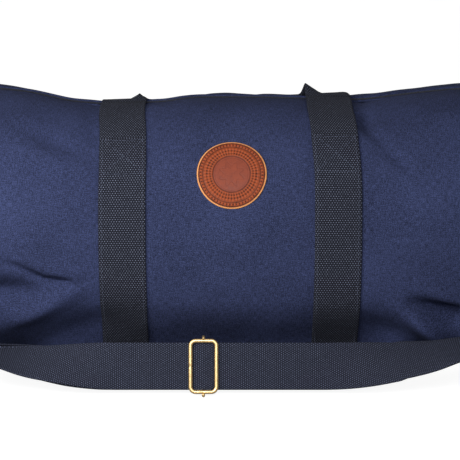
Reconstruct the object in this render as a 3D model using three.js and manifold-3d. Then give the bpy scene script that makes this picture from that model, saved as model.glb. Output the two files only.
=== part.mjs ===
// A canvas weekender bag: a soft barrel with flat ends and a zip along the top, webbing sewn up the
// front and back that carries on as two carrying handles, and a webbing shoulder strap with a wire
// adjuster and a swivel snap hook at each end.
// Millimetres. +X runs along the bag, the front faces -Y, +Z is up, and the origin is the middle of
// the underside.
import * as THREE from 'three';
import { mergeVertices } from 'three/addons/utils/BufferGeometryUtils.js';
import Module from 'manifold-3d';

const wasm = await Module();
wasm.setup();

// Bag body
const PANEL_HALF_LENGTH = 276;
const ZIP_LINE_HEIGHT = 294.5;
const ZIP_LINE_RADIUS = 3400;
const HALF_DEPTH = 148;
const HALF_DEPTH_LOSS_AT_ENDS = 5;
const BASE_HALF_WIDTH = 75;
const WIDEST_HEIGHT = 140;
const HEM_Y = 8;
const TOP_ROUNDNESS = 2.5;
const BOTTOM_ROUNDNESS = 2.3;
const CANVAS = 2.5;
const GAP = 0.3;

// Piping and ends
const PIPING_RADIUS = 3;
const PIPING_X = PANEL_HALF_LENGTH + GAP + PIPING_RADIUS;
const END_INSET = 2 * PIPING_RADIUS + 0.8;
const END_X = 278;
const END_DOME = 3.5;

// Webbing
const WEBBING_WIDTH = 50;
const WEBBING = 2;
const WEBBING_SKIN_GAP = 0.5;
const STRAP_X = { left: -113, right: 113 };
const SEWN_TOP = 37 / 180;
const SEWN_BOTTOM = 0.9;

// Carrying handles
const FRONT_HANDLE = { reach: 300, loop: 32, gather: [105, 245], roll: [205, 268], twist: 6 };
const BACK_HANDLE = { reach: 250, loop: 48, gather: [118, 202], roll: [125, 202], twist: 0 };
const HANDLE_ROLL = 80;
const TWIST_PLACE = [112, 172];
const HANDLE_SLIT = 1;
const HANDLE_RISE = 1.5;
const RISE_PLACE = [120, 180];
const ARCH_OVER_ZIP = 6.5;
const ARCH_PLACE = [45, 165];
const SETTLE_LENGTH = 45;
const FOLD_RISE = 10;
const FOLD_RADIUS = 3.2;

// Patch
const PATCH_RADIUS = 37;
const PATCH_THICKNESS = 1.6;
const PATCH_X = 1.8;
const PATCH_PLACE = 59.5 / 180;

// Zip
const TAPE_HALF_LENGTH = 274;
const TAPE = 0.8;
const TAPE_WIDTH = 12.5;
const TAPE_GAP = 0.6;
const COIL = 2;
const COIL_HALF_LENGTH = 269;
const SLIDER_X = 264;
const SLIDER_LENGTH = 10;
const PULL_LENGTH = 22;
const PULL_TILT = 2;

// Rings, tabs and hooks
const RING_X = 293;
const RING_HEIGHT = 240;
const RING_RADIUS = 21.25;
const RING_WIRE = 2.25;
const TAB_WIDTH = 18;
const TAB = 1.8;
const HOOK_ANGLE = 35;
const HOOK_WIRE = 2;
const BAIL_RADIUS = 5.5;
const BAIL_TOP = 22.1;
const HOOK_BASE_TOP = 35;
const HOOK_BASE_END = 42;
const EYE_BAR = 66;
const EYE_INNER_HALF_WIDTH = 27;
const GATE_PIVOT = 38.5;

// Shoulder strap
const RUN_Y = -172;
const RUN_Z = 31;
const RUN_LEAN = 76;
const ADJUSTER_X = -28;
const ADJUSTER_WIRE = 1.9;
const ADJUSTER_HALF_LENGTH = 13.9;
const ADJUSTER_HALF_HEIGHT = 27.4;
const BAR_DEPTH = -4.8;
const BAR_WIRE = 1.2;
const LAYER_STEP = WEBBING + 0.6;
const OUTER_CLOSES = 0.09;
const LAYERS_CLOSE = 0.47;
const FOLD_BACK_END_X = 181;
const END_LOOP_LENGTH = 31;
const STRAP_STEPS = 100;

const degrees = Math.PI / 180;
const vec = (x, y, z) => new THREE.Vector3(x, y, z);
const mix = (a, b, share) => a + (b - a) * share;
const ease = (share) => share * share * (3 - 2 * share);
const clamp01 = (value) => Math.min(1, Math.max(0, value));
const shareOf = (value, [from, to]) => clamp01((value - from) / (to - from));

const COLOURS = {
  canvas: { color: 0x363c62, roughness: 0.9, metalness: 0 },
  webbing: { color: 0x383b4a, roughness: 0.9, metalness: 0 },
  strap: { color: 0x3a3e52, roughness: 0.9, metalness: 0 },
  tape: { color: 0x262a44, roughness: 0.9, metalness: 0 },
  coil: { color: 0x20222c, roughness: 0.5, metalness: 0 },
  leather: { color: 0x8a4b30, roughness: 0.6, metalness: 0 },
  brass: { color: 0xb89455, roughness: 0.3, metalness: 1 },
};

const bag = new THREE.Group();

function add(name, geometry, finish, parent = bag) {
  const mesh = new THREE.Mesh(geometry, new THREE.MeshStandardMaterial(COLOURS[finish]));
  mesh.name = name;
  parent.add(mesh);
  return mesh;
}

// ---- Shapes --------------------------------------------------------------------------------

function welded(geometry) {
  geometry.deleteAttribute('normal');
  geometry.deleteAttribute('uv');
  return mergeVertices(geometry, 1e-4);
}

// Turns the faces of a closed geometry round if they point inwards.
function facingOut(geometry) {
  const p = geometry.attributes.position;
  const index = geometry.index;
  const [a, b, c] = [vec(0, 0, 0), vec(0, 0, 0), vec(0, 0, 0)];
  let volume = 0;
  for (let i = 0; i < index.count; i += 3) {
    a.fromBufferAttribute(p, index.getX(i));
    b.fromBufferAttribute(p, index.getX(i + 1));
    c.fromBufferAttribute(p, index.getX(i + 2));
    volume += a.dot(b.clone().cross(c));
  }
  if (volume < 0) {
    for (let i = 0; i < index.count; i += 3) {
      const first = index.getX(i);
      index.setX(i, index.getX(i + 2));
      index.setX(i + 2, first);
    }
  }
  geometry.computeVertexNormals();
  return geometry;
}

// Moves every point of a closed geometry to place(point).
function moved(geometry, place) {
  const closed = welded(geometry);
  const p = closed.attributes.position;
  for (let i = 0; i < p.count; i += 1) {
    const q = place(vec(p.getX(i), p.getY(i), p.getZ(i)));
    p.setXYZ(i, q.x, q.y, q.z);
  }
  return facingOut(closed);
}

// A sheet or strip: a block cut into nu by nv cells, one cell thick, with u, v and w from 0 to 1.
function formed(nu, nv, place) {
  const block = new THREE.BoxGeometry(1, 1, 1, nu, nv, 1);
  // The two broad faces are cut along the same diagonals, so a twisted sheet keeps its thickness.
  const underside = block.groups[5];
  for (let i = underside.start; i < underside.start + underside.count; i += 6) {
    const [a, b, d, , c] = block.index.array.slice(i, i + 5);
    block.index.array.set([a, b, c, a, c, d], i);
  }
  return moved(block, (p) => place(p.x + 0.5, p.y + 0.5, p.z + 0.5));
}

// A wire of round section along a closed line: line(turn) gives the point, and side(turn) a
// direction square to the line, for turn from 0 to 1.
function closedWire(line, side, radius, steps, sides) {
  const ring = new THREE.TorusGeometry(10, 1, sides, steps);
  return moved(ring, (p) => {
    const turn = (Math.atan2(p.y, p.x) / (2 * Math.PI) + 1) % 1;
    const out = Math.hypot(p.x, p.y) - 10;
    const along = line((turn + 0.001) % 1).sub(line((turn + 0.999) % 1)).normalize();
    const first = side(turn).normalize();
    const second = along.cross(first).normalize();
    return line(turn).addScaledVector(first, out * radius).addScaledVector(second, p.z * radius);
  });
}

// A wire of round section with two ends, along a smooth line through the points.
function openWire(points, radius, steps, sides) {
  const round = new THREE.Shape();
  round.absarc(0, 0, radius, 0, 2 * Math.PI);
  const extrudePath = new THREE.CatmullRomCurve3(points);
  const options = { steps, extrudePath, curveSegments: sides / 2 };
  return facingOut(welded(new THREE.ExtrudeGeometry(round, options)));
}

// Webbing along a line: frame(u) gives its middle, its width direction and its face direction.
function ribbon(frame, width, thickness, steps, across = 2) {
  return formed(steps, across, (u, v, w) => {
    const { point, wide, face } = frame(u);
    const q = point.clone().addScaledVector(wide, (v - 0.5) * width);
    return q.addScaledVector(face, (w - 0.5) * thickness);
  });
}

function solidOf(geometry) {
  const closed = welded(geometry.clone());
  const vertProperties = Float32Array.from(closed.attributes.position.array);
  const triVerts = Uint32Array.from(closed.index.array);
  return new wasm.Manifold(new wasm.Mesh({ numProp: 3, vertProperties, triVerts }));
}

function geometryOf(solid) {
  const mesh = solid.getMesh();
  const geometry = new THREE.BufferGeometry();
  geometry.setAttribute('position', new THREE.BufferAttribute(mesh.vertProperties, 3));
  geometry.setIndex(new THREE.BufferAttribute(mesh.triVerts, 1));
  return facingOut(geometry);
}

// ---- The bag's own surface -----------------------------------------------------------------

function zipLineHeight(x) {
  return ZIP_LINE_HEIGHT + ZIP_LINE_RADIUS - Math.sqrt(ZIP_LINE_RADIUS ** 2 - x * x);
}

function halfDepth(x) {
  return HALF_DEPTH - HALF_DEPTH_LOSS_AT_ENDS * (x / PANEL_HALF_LENGTH) ** 2;
}

// Half of the section at x, as (distance from the middle, height), from the zip's edge at t = 0,
// over the shoulder and round to the base's edge at t = 1.
function sectionPoint(x, t) {
  const angle = Math.min(Math.max(t, 0), 1) * Math.PI;
  const rise = Math.abs(Math.cos(angle));
  const reach = Math.sin(angle);
  if (t < 0.5) {
    const out = reach ** (2 / TOP_ROUNDNESS) * (halfDepth(x) - HEM_Y);
    const up = rise ** (2 / TOP_ROUNDNESS) * (zipLineHeight(x) - WIDEST_HEIGHT);
    return new THREE.Vector2(HEM_Y + out, WIDEST_HEIGHT + up);
  }
  const out = reach ** (2 / BOTTOM_ROUNDNESS) * (halfDepth(x) - BASE_HALF_WIDTH);
  const down = rise ** (2 / BOTTOM_ROUNDNESS) * WIDEST_HEIGHT;
  return new THREE.Vector2(BASE_HALF_WIDTH + out, WIDEST_HEIGHT - down);
}

function sectionNormal(x, t) {
  const along = sectionPoint(x, t + 0.002).sub(sectionPoint(x, t - 0.002)).normalize();
  return new THREE.Vector2(-along.y, along.x);
}

// A point on the bag's skin, lifted off it by lift. side is -1 on the front and 1 on the back.
function skinPoint(side, x, t, lift = 0) {
  const q = sectionPoint(x, t).addScaledVector(sectionNormal(x, t), lift);
  return vec(x, side * q.x, q.y);
}

// Distances measured over the skin at the bag's middle, from the zip's edge.
const SKIN_STEPS = 400;
const skinDistance = [0];
for (let i = 1; i <= SKIN_STEPS; i += 1) {
  const step = sectionPoint(0, i / SKIN_STEPS).distanceTo(sectionPoint(0, (i - 1) / SKIN_STEPS));
  skinDistance.push(skinDistance[i - 1] + step);
}

function placeAtDistance(distance) {
  let i = 1;
  while (i < SKIN_STEPS && skinDistance[i] < distance) {
    i += 1;
  }
  const share = (distance - skinDistance[i - 1]) / (skinDistance[i] - skinDistance[i - 1]);
  return (i - 1 + clamp01(share)) / SKIN_STEPS;
}

function distanceAtPlace(t) {
  return skinDistance[Math.round(t * SKIN_STEPS)];
}

// ---- Canvas --------------------------------------------------------------------------------

function bodyPanel(side) {
  const [alongX, around] = [8, 20];
  return formed(alongX, around, (u, v, w) => {
    const x = mix(-PANEL_HALF_LENGTH, PANEL_HALF_LENGTH, u);
    return skinPoint(side, x, v, -w * CANVAS);
  });
}

function endPanel(side) {
  const [rows, columns] = [16, 6];
  return formed(rows, columns, (u, v, w) => {
    const edge = sectionPoint(PANEL_HALF_LENGTH, u);
    edge.addScaledVector(sectionNormal(PANEL_HALF_LENGTH, u), -END_INSET);
    const across = 2 * v - 1;
    const dome = END_DOME * (1 - across * across) * Math.sin(u * Math.PI);
    return vec(side * (END_X + dome + w * CANVAS), across * Math.max(edge.x, 2), edge.y);
  });
}

function pipingLoop(side) {
  const [steps, sides] = [40, 6];
  const baseShare = 0.09;
  const line = (turn) => {
    const half = turn < 0.5 ? turn * 2 : (1 - turn) * 2;
    const sign = turn < 0.5 ? -1 : 1;
    if (half > 1 - baseShare) {
      const y = mix(BASE_HALF_WIDTH, 0, (half - 1 + baseShare) / baseShare);
      return vec(side * PIPING_X, sign * y, PIPING_RADIUS);
    }
    const t = half / (1 - baseShare);
    const topShare = 0.03;
    if (t < topShare) {
      const corner = skinPoint(sign, PANEL_HALF_LENGTH, topShare, -PIPING_RADIUS);
      return vec(side * PIPING_X, mix(0, corner.y, t / topShare), corner.z);
    }
    const q = skinPoint(sign, PANEL_HALF_LENGTH, t, -PIPING_RADIUS);
    return vec(side * PIPING_X, q.y, q.z);
  };
  return closedWire(line, () => vec(1, 0, 0), PIPING_RADIUS, steps, sides);
}

add('front_panel', bodyPanel(-1), 'canvas');
add('back_panel', bodyPanel(1), 'canvas');
const basePanel = new THREE.BoxGeometry(2 * PANEL_HALF_LENGTH, 2 * (BASE_HALF_WIDTH - GAP), CANVAS);
basePanel.translate(0, 0, CANVAS / 2);
add('base_panel', basePanel, 'canvas');
for (const [name, side] of [['left', -1], ['right', 1]]) {
  add(`${name}_end_panel`, endPanel(side), 'canvas');
  add(`${name}_end_piping`, pipingLoop(side), 'canvas');
}

// ---- Leather patch -------------------------------------------------------------------------

function patch() {
  const steps = 3;
  const profile = [];
  for (let i = 0; i <= steps; i += 1) {
    profile.push(new THREE.Vector2((PATCH_RADIUS * i) / steps, 0));
  }
  for (let i = steps; i >= 0; i -= 1) {
    profile.push(new THREE.Vector2((PATCH_RADIUS * i) / steps, PATCH_THICKNESS));
  }
  const middle = distanceAtPlace(PATCH_PLACE);
  return moved(new THREE.LatheGeometry(profile, 24), (p) => {
    return skinPoint(-1, PATCH_X + p.x, placeAtDistance(middle + p.z), p.y + WEBBING_SKIN_GAP);
  });
}

add('leather_patch', patch(), 'leather');

// ---- Sewn webbing and carrying handles -----------------------------------------------------

function sewnStrap(side, middleX) {
  return formed(2, 22, (u, v, w) => {
    const x = middleX + (u - 0.5) * WEBBING_WIDTH;
    const t = mix(SEWN_TOP, SEWN_BOTTOM, v);
    return skinPoint(side, x, t, WEBBING_SKIN_GAP + w * WEBBING);
  });
}

// A carrying handle goes out from the left strap, round a U end and back to the right strap, over
// surface(x, distance, lift). Its legs start flat, gather inwards, and roll onto their edges before
// the U end. The twist tips their inner edges up where they cross the top.
function handle(surface, form, flatLift) {
  const legShare = 0.43;
  const straight = form.reach - form.loop;
  const place = (u) => {
    const side = u < 0.5 ? -1 : 1;
    const half = Math.min(u, 1 - u) / 0.5;
    const leg = clamp01(half / (2 * legShare));
    const bend = clamp01((half - 2 * legShare) / (1 - 2 * legShare)) * 90 * degrees;
    const startX = Math.abs(side < 0 ? STRAP_X.left : STRAP_X.right);
    const distance = mix(HANDLE_SLIT, straight, leg) + form.loop * Math.sin(bend);
    const gathered = ease(shareOf(distance, form.gather));
    return [side * mix(startX, form.loop, gathered) * Math.cos(bend), distance];
  };
  const frame = (u) => {
    const [x, distance] = place(u);
    const twist = form.twist * Math.sin(shareOf(distance, TWIST_PLACE) * Math.PI);
    const roll = (HANDLE_ROLL * ease(shareOf(distance, form.roll)) + twist) * degrees;
    const lift = flatLift(distance) + (WEBBING_WIDTH / 2) * Math.sin(roll);
    const lengthways = surface(x + 1, distance, 0).sub(surface(x - 1, distance, 0));
    const downwards = surface(x, distance + 1, 0).sub(surface(x, distance - 1, 0));
    const out = lengthways.cross(downwards).normalize();
    out.multiplyScalar(Math.sign(out.dot(surface(x, distance, 1).sub(surface(x, distance, 0)))));
    const before = surface(...place(Math.max(u - 0.004, 0)), 0);
    const heading = surface(...place(Math.min(u + 0.004, 1)), 0).sub(before);
    const inward = heading.clone().cross(out).normalize();
    const wide = inward.multiplyScalar(Math.cos(roll)).addScaledVector(out, Math.sin(roll));
    const face = wide.clone().cross(heading).normalize();
    return { point: surface(x, distance, lift), wide, face };
  };
  return ribbon(frame, WEBBING_WIDTH, WEBBING, 44);
}

const attachDistance = distanceAtPlace(SEWN_TOP);
const flatOnSkin = WEBBING_SKIN_GAP + WEBBING / 2;

// The skin from the front attachment over the top and down the back.
function overTheTop(x, distance, lift) {
  const fromMiddle = distance - attachDistance - HEM_Y;
  if (Math.abs(fromMiddle) <= HEM_Y) {
    return vec(x, fromMiddle, zipLineHeight(x) + lift);
  }
  return skinPoint(Math.sign(fromMiddle), x, placeAtDistance(Math.abs(fromMiddle) - HEM_Y), lift);
}

// The skin from the back attachment downwards, with negative distances above it.
function downTheBack(x, distance, lift) {
  return skinPoint(1, x, placeAtDistance(attachDistance + distance), lift);
}

// The short fold where the back handle turns over and hangs down.
function handleFold(middleX) {
  const corners = [
    [HANDLE_SLIT, flatOnSkin],
    [FOLD_RISE, flatOnSkin],
  ];
  const bends = 8;
  for (let i = 1; i <= bends; i += 1) {
    const turn = (i / bends) * Math.PI;
    const rise = FOLD_RISE + FOLD_RADIUS * Math.sin(turn);
    corners.push([rise, flatOnSkin + FOLD_RADIUS * (1 - Math.cos(turn))]);
  }
  corners.push([HANDLE_SLIT, flatOnSkin + 2 * FOLD_RADIUS]);
  const steps = corners.length - 1;
  return formed(1, steps, (u, v, w) => {
    const i = Math.round(v * steps);
    const [rise, lift] = corners[i];
    const [riseBefore, liftBefore] = corners[Math.max(i - 1, 0)];
    const [riseAfter, liftAfter] = corners[Math.min(i + 1, steps)];
    const along = new THREE.Vector2(riseAfter - riseBefore, liftAfter - liftBefore).normalize();
    const offset = (w - 0.5) * WEBBING;
    const x = middleX + (u - 0.5) * WEBBING_WIDTH;
    return downTheBack(x, -(rise - along.y * offset), lift + along.x * offset);
  });
}

for (const [name, side] of [['front', -1], ['back', 1]]) {
  add(`${name}_strap_left`, sewnStrap(side, STRAP_X.left), 'webbing');
  add(`${name}_strap_right`, sewnStrap(side, STRAP_X.right), 'webbing');
}
const foldedLift = flatOnSkin + 2 * FOLD_RADIUS;
function ride(distance) {
  const arch = ARCH_OVER_ZIP * ease(Math.sin(shareOf(distance, ARCH_PLACE) * Math.PI));
  return flatOnSkin + arch + HANDLE_RISE * ease(shareOf(distance, RISE_PLACE));
}

add('front_handle', handle(overTheTop, FRONT_HANDLE, ride), 'webbing');
const settledLift = flatOnSkin + WEBBING + WEBBING_SKIN_GAP;
const settle = (distance) => mix(foldedLift, settledLift, ease(shareOf(distance, [0, SETTLE_LENGTH])));
add('back_handle', handle(downTheBack, BACK_HANDLE, settle), 'webbing');
add('back_handle_fold_left', handleFold(STRAP_X.left), 'webbing');
add('back_handle_fold_right', handleFold(STRAP_X.right), 'webbing');

// ---- Zip -----------------------------------------------------------------------------------

// A strip along the zip, between two distances from the middle and two heights below the hem.
function zipStrip(halfLength, nearY, farY, bottom, top) {
  return formed(16, 1, (u, v, w) => {
    const x = mix(-halfLength, halfLength, u);
    return vec(x, mix(nearY, farY, v), zipLineHeight(x) + mix(bottom, top, w));
  });
}

const tapeTop = -CANVAS - TAPE_GAP;
const coilBottom = tapeTop + GAP;
for (const [name, side] of [['front', -1], ['back', 1]]) {
  add(
    `zip_tape_${name}`,
    zipStrip(TAPE_HALF_LENGTH, side * GAP, side * (GAP + TAPE_WIDTH), tapeTop - TAPE, tapeTop),
    'tape',
  );
  add(
    `zip_coil_${name}`,
    zipStrip(COIL_HALF_LENGTH, side * 0.2, side * (0.2 + COIL), coilBottom, coilBottom + COIL),
    'coil',
  );
}

// The slider, pull and end tabs are built at the middle of the zip and turned along its curve.
function onZip(x) {
  const pivot = new THREE.Group();
  pivot.position.z = ZIP_LINE_HEIGHT + ZIP_LINE_RADIUS;
  pivot.rotation.y = -Math.asin(x / ZIP_LINE_RADIUS);
  const seat = new THREE.Group();
  seat.position.z = -ZIP_LINE_RADIUS;
  pivot.add(seat);
  bag.add(pivot);
  return seat;
}

function block(lengthX, lengthY, bottom, top) {
  const box = new THREE.BoxGeometry(lengthX, lengthY, top - bottom);
  return box.translate(0, 0, (top + bottom) / 2);
}

const sliderTop = 1.4;
const pullAxis = sliderTop + 1.3;

function zipSlider() {
  const [halfWidth, channel] = [4.6, 2.6];
  const outline = new THREE.Shape();
  outline.moveTo(-halfWidth, tapeTop + GAP);
  outline.lineTo(-channel, tapeTop + GAP);
  outline.lineTo(-channel, coilBottom + COIL + GAP);
  outline.lineTo(channel, coilBottom + COIL + GAP);
  outline.lineTo(channel, tapeTop + GAP);
  outline.lineTo(halfWidth, tapeTop + GAP);
  outline.lineTo(halfWidth, sliderTop - 0.6);
  outline.lineTo(halfWidth - 1.2, sliderTop);
  outline.lineTo(1.2 - halfWidth, sliderTop);
  outline.lineTo(-halfWidth, sliderTop - 0.6);
  const shell = new THREE.ExtrudeGeometry(outline, { depth: SLIDER_LENGTH, bevelEnabled: false });
  shell.rotateX(Math.PI / 2).rotateZ(Math.PI / 2).translate(-SLIDER_LENGTH / 2, 0, 0);
  const arch = [vec(-3.6, 0, sliderTop - 0.4), vec(-3.4, 0, pullAxis + 0.6)];
  arch.push(vec(-1.8, 0, pullAxis + 1.9), vec(1.8, 0, pullAxis + 1.9));
  arch.push(vec(3.4, 0, pullAxis + 0.6), vec(3.6, 0, sliderTop - 0.4));
  return geometryOf(solidOf(shell).add(solidOf(openWire(arch, 0.6, 12, 8))));
}

function zipPull() {
  const [halfWidth, slotHalfWidth, slotLength, barRadius] = [4.2, 2.2, 7, 0.8];
  const outline = new THREE.Shape();
  outline.moveTo(-barRadius, -halfWidth);
  outline.lineTo(PULL_LENGTH - 3, -halfWidth);
  outline.quadraticCurveTo(PULL_LENGTH, -halfWidth, PULL_LENGTH, 0);
  outline.quadraticCurveTo(PULL_LENGTH, halfWidth, PULL_LENGTH - 3, halfWidth);
  outline.lineTo(-barRadius, halfWidth);
  const slot = new THREE.Path();
  slot.moveTo(barRadius, -slotHalfWidth);
  slot.lineTo(barRadius, slotHalfWidth);
  slot.lineTo(slotLength, slotHalfWidth);
  slot.lineTo(slotLength, -slotHalfWidth);
  outline.holes.push(slot);
  const options = { depth: 2 * barRadius, bevelEnabled: false, curveSegments: 5 };
  return welded(new THREE.ExtrudeGeometry(outline, options)).translate(0, 0, -barRadius);
}

const sliderSeat = onZip(SLIDER_X);
add('zip_slider', zipSlider(), 'brass', sliderSeat);
const pull = add('zip_pull', zipPull(), 'brass', sliderSeat);
pull.position.z = pullAxis;
pull.rotation.y = -PULL_TILT * degrees;
for (const [name, x] of [['left', -272], ['right', 272]]) {
  add(`zip_end_${name}`, block(4, 14, tapeTop + GAP, tapeTop + GAP + 1.6), 'tape', onZip(x));
}

// ---- Rings on their tabs -------------------------------------------------------------------

function ringTab(side) {
  const wireInner = RING_RADIUS - RING_WIRE;
  const topZ = RING_HEIGHT - wireInner + 4.8;
  const [backX, frontX] = [285.3, RING_X + RING_WIRE + 0.5 + TAB / 2];
  const archX = (backX + frontX) / 2;
  const archRadius = (frontX - backX) / 2;
  const corners = [[backX, 112], [backX, 150], [backX, 180], [backX, topZ - archRadius]];
  const bends = 8;
  for (let i = 1; i < bends; i += 1) {
    const turn = (i / bends) * Math.PI;
    const rise = archRadius * Math.sin(turn);
    corners.push([archX - archRadius * Math.cos(turn), topZ - archRadius + rise]);
  }
  corners.push([frontX, topZ - archRadius], [frontX - 1.5, 194], [backX + 3.2, 182]);
  corners.push([backX + TAB + GAP, 170], [backX + TAB + GAP, 112]);
  const steps = corners.length - 1;
  return formed(1, steps, (u, v, w) => {
    const i = Math.round(v * steps);
    const [before, after] = [corners[Math.max(i - 1, 0)], corners[Math.min(i + 1, steps)]];
    const along = new THREE.Vector2(after[0] - before[0], after[1] - before[1]).normalize();
    const offset = (w - 0.5) * TAB;
    const x = corners[i][0] - along.y * offset;
    return vec(side * x, (u - 0.5) * TAB_WIDTH, corners[i][1] + along.x * offset);
  });
}

// ---- Snap hooks ----------------------------------------------------------------------------

// A hook is built with its length along -Z from the ring's middle, then turned to point down and
// forwards. Its gate is on the side away from the bag.
function hookSeat(side) {
  const seat = new THREE.Group();
  seat.position.set(side * RING_X, 0, RING_HEIGHT);
  seat.rotation.x = -(90 - HOOK_ANGLE) * degrees;
  bag.add(seat);
  return seat;
}

function alongHook(radius, from, to, sides) {
  const rod = new THREE.CylinderGeometry(radius, radius, to - from, sides);
  return rod.rotateX(Math.PI / 2).translate(0, 0, -(from + to) / 2);
}

function hookBody(side) {
  const bail = [vec(-BAIL_RADIUS, 0, -HOOK_BASE_TOP - 1), vec(-BAIL_RADIUS, 0, -28)];
  const bends = 6;
  for (let i = 0; i <= bends; i += 1) {
    const turn = (i / bends) * Math.PI;
    const x = -BAIL_RADIUS * Math.cos(turn);
    bail.push(vec(x, 0, -BAIL_TOP + BAIL_RADIUS * Math.sin(turn)));
  }
  bail.push(vec(BAIL_RADIUS, 0, -BAIL_TOP - 2.4));
  const place = (p) => p.setX(side * p.x);
  const base = new THREE.BoxGeometry(10.4, 8.6, HOOK_BASE_END - HOOK_BASE_TOP);
  base.translate(side * -2.6, 0, -(HOOK_BASE_END + HOOK_BASE_TOP) / 2);
  let body = solidOf(openWire(bail.map(place), HOOK_WIRE, 20, 8)).add(solidOf(base));
  for (const y of [-3.45, 3.45]) {
    const ear = new THREE.BoxGeometry(7, 1.7, HOOK_BASE_END - HOOK_BASE_TOP);
    ear.translate(side * 5, y, -(HOOK_BASE_END + HOOK_BASE_TOP) / 2);
    body = body.add(solidOf(ear));
  }
  const bore = new THREE.CylinderGeometry(1.3, 1.3, 12, 12);
  bore.translate(side * BAIL_RADIUS, 0, -GATE_PIVOT);
  body = body.subtract(solidOf(bore));
  body = body.add(solidOf(alongHook(2.2, HOOK_BASE_END - 1, 47.5, 12)));
  return geometryOf(body.add(solidOf(alongHook(3.6, 46.9, 48.9, 14))));
}

function hookGate(side) {
  const tip = BAIL_TOP + 2.4 + 0.5;
  let gate = solidOf(alongHook(1.6, tip, GATE_PIVOT, 10));
  const pin = new THREE.CylinderGeometry(1, 1, 8, 10);
  gate = gate.add(solidOf(pin.translate(0, 0, -GATE_PIVOT)));
  const boss = new THREE.CylinderGeometry(2.1, 2.1, 4.6, 12);
  gate = gate.add(solidOf(boss.translate(0, 0, -GATE_PIVOT)));
  const thumb = new THREE.CylinderGeometry(1.2, 1.6, 4, 10);
  thumb.rotateZ((-side * Math.PI) / 2).translate(side * 2.4, 0, -30);
  gate = gate.add(solidOf(thumb));
  return geometryOf(gate).translate(side * BAIL_RADIUS, 0, 0);
}

function hookEye() {
  const collar = new THREE.CylinderGeometry(5, 5, 3.8, 16);
  collar.rotateX(Math.PI / 2).translate(0, 0, -44.4);
  const half = EYE_INNER_HALF_WIDTH + HOOK_WIRE;
  const flat = (y, z) => vec(0, y, -z);
  const knots = [
    flat(0, 44.4), flat(9, 44.8), flat(half - 7, 52.5), flat(half - 0.6, 57), flat(half, 61.5),
    flat(half - 1.3, EYE_BAR - 1.2), flat(half - 4.5, EYE_BAR), flat(0, EYE_BAR),
  ];
  const mirrored = knots.slice(1, -1).reverse().map((p) => vec(0, -p.y, p.z));
  const line = new THREE.CatmullRomCurve3([...knots, ...mirrored], true);
  const wire = closedWire((turn) => line.getPoint(turn), () => vec(1, 0, 0), HOOK_WIRE, 30, 6);
  const bore = alongHook(2.5, 41, 46.6, 16);
  return geometryOf(solidOf(wire).add(solidOf(collar)).subtract(solidOf(bore)));
}

for (const [name, side] of [['left', -1], ['right', 1]]) {
  add(`${name}_ring_tab`, ringTab(side), 'webbing');
  const ring = new THREE.TorusGeometry(RING_RADIUS, RING_WIRE, 8, 24);
  ring.rotateY(Math.PI / 2).translate(side * RING_X, 0, RING_HEIGHT);
  add(`${name}_ring`, ring, 'brass');
  const seat = hookSeat(side);
  add(`${name}_hook`, hookBody(side), 'brass', seat);
  add(`${name}_hook_gate`, hookGate(side), 'brass', seat);
  add(`${name}_hook_eye`, hookEye(), 'brass', seat);
}

// ---- Shoulder strap ------------------------------------------------------------------------

// The strap's middle line as [x, y, z, lean], the lean being the angle in degrees from +Y up to the
// webbing's width. It stands on its edge along the front, lies over near each end and then goes up
// beside the end panel to the hook.
const hookDrop = (distance) => [
  -distance * Math.cos(HOOK_ANGLE * degrees),
  RING_HEIGHT - distance * Math.sin(HOOK_ANGLE * degrees),
];
const HOOK_LEAN = HOOK_ANGLE - 90;
const STRAP_LEFT = [
  [-RING_X, ...hookDrop(EYE_BAR + 6), HOOK_LEAN],
  [-RING_X, ...hookDrop(EYE_BAR + 18), HOOK_LEAN],
  [-295, -98, 159, -51],
  [-297, -123, 127, -44],
  [-298, -147, 91, -31],
  [-294, -161, 63, -15],
  [-281, -167, 46, 0],
  [-263, -166, 39, 8],
  [-242, -164, 36.5, 15],
  [-212, -166, 34, 28],
  [-178, -170, 32.3, 44],
  [-146, -171.6, 31.3, 64],
  [-122, RUN_Y, RUN_Z, RUN_LEAN],
  [-112, RUN_Y, RUN_Z, RUN_LEAN],
  [-60, RUN_Y, RUN_Z, RUN_LEAN],
];
const STRAP_RIGHT = [
  [0, RUN_Y, RUN_Z, RUN_LEAN],
  [60, RUN_Y, RUN_Z, RUN_LEAN],
  [90, RUN_Y, RUN_Z, RUN_LEAN],
  [100, RUN_Y, RUN_Z, RUN_LEAN],
  [134, -171.2, 32, 60],
  [175, -169, 35, 40],
  [212, -166, 39.5, 26],
  [242, -164, 45, 18],
  [264, -166, 49, 10],
  [282, -167, 57, 0],
  [294, -161, 73, -15],
  [298, -147, 97, -31],
  [297, -123, 129, -44],
  [295, -98, 159, -51],
  [RING_X, ...hookDrop(EYE_BAR + 18), HOOK_LEAN],
  [RING_X, ...hookDrop(EYE_BAR + 6), HOOK_LEAN],
];
const strapKnots = [...STRAP_LEFT, ...STRAP_RIGHT];
const strapLine = new THREE.CatmullRomCurve3(strapKnots.map(([x, y, z]) => vec(x, y, z)));
const leanLine = new THREE.CatmullRomCurve3(
  strapKnots.map(([x, , , lean]) => vec(x, lean, 0)), false, 'catmullrom', 0.5,
);

// The strap's middle, width direction and outward face direction at a share of its knots.
function strapFrame(share) {
  const point = strapLine.getPoint(share);
  const along = strapLine.getTangent(share);
  const lean = leanLine.getPoint(share).y * degrees;
  const wide = vec(0, Math.cos(lean), Math.sin(lean));
  wide.addScaledVector(along, -wide.dot(along)).normalize();
  return { point, along, wide, face: along.clone().cross(wide).normalize() };
}

function shareAtX(x) {
  let [low, high] = [0, 1];
  for (let i = 0; i < 40; i += 1) {
    const middle = (low + high) / 2;
    if (strapLine.getPoint(middle).x < x) {
      low = middle;
    } else {
      high = middle;
    }
  }
  return low;
}

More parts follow.
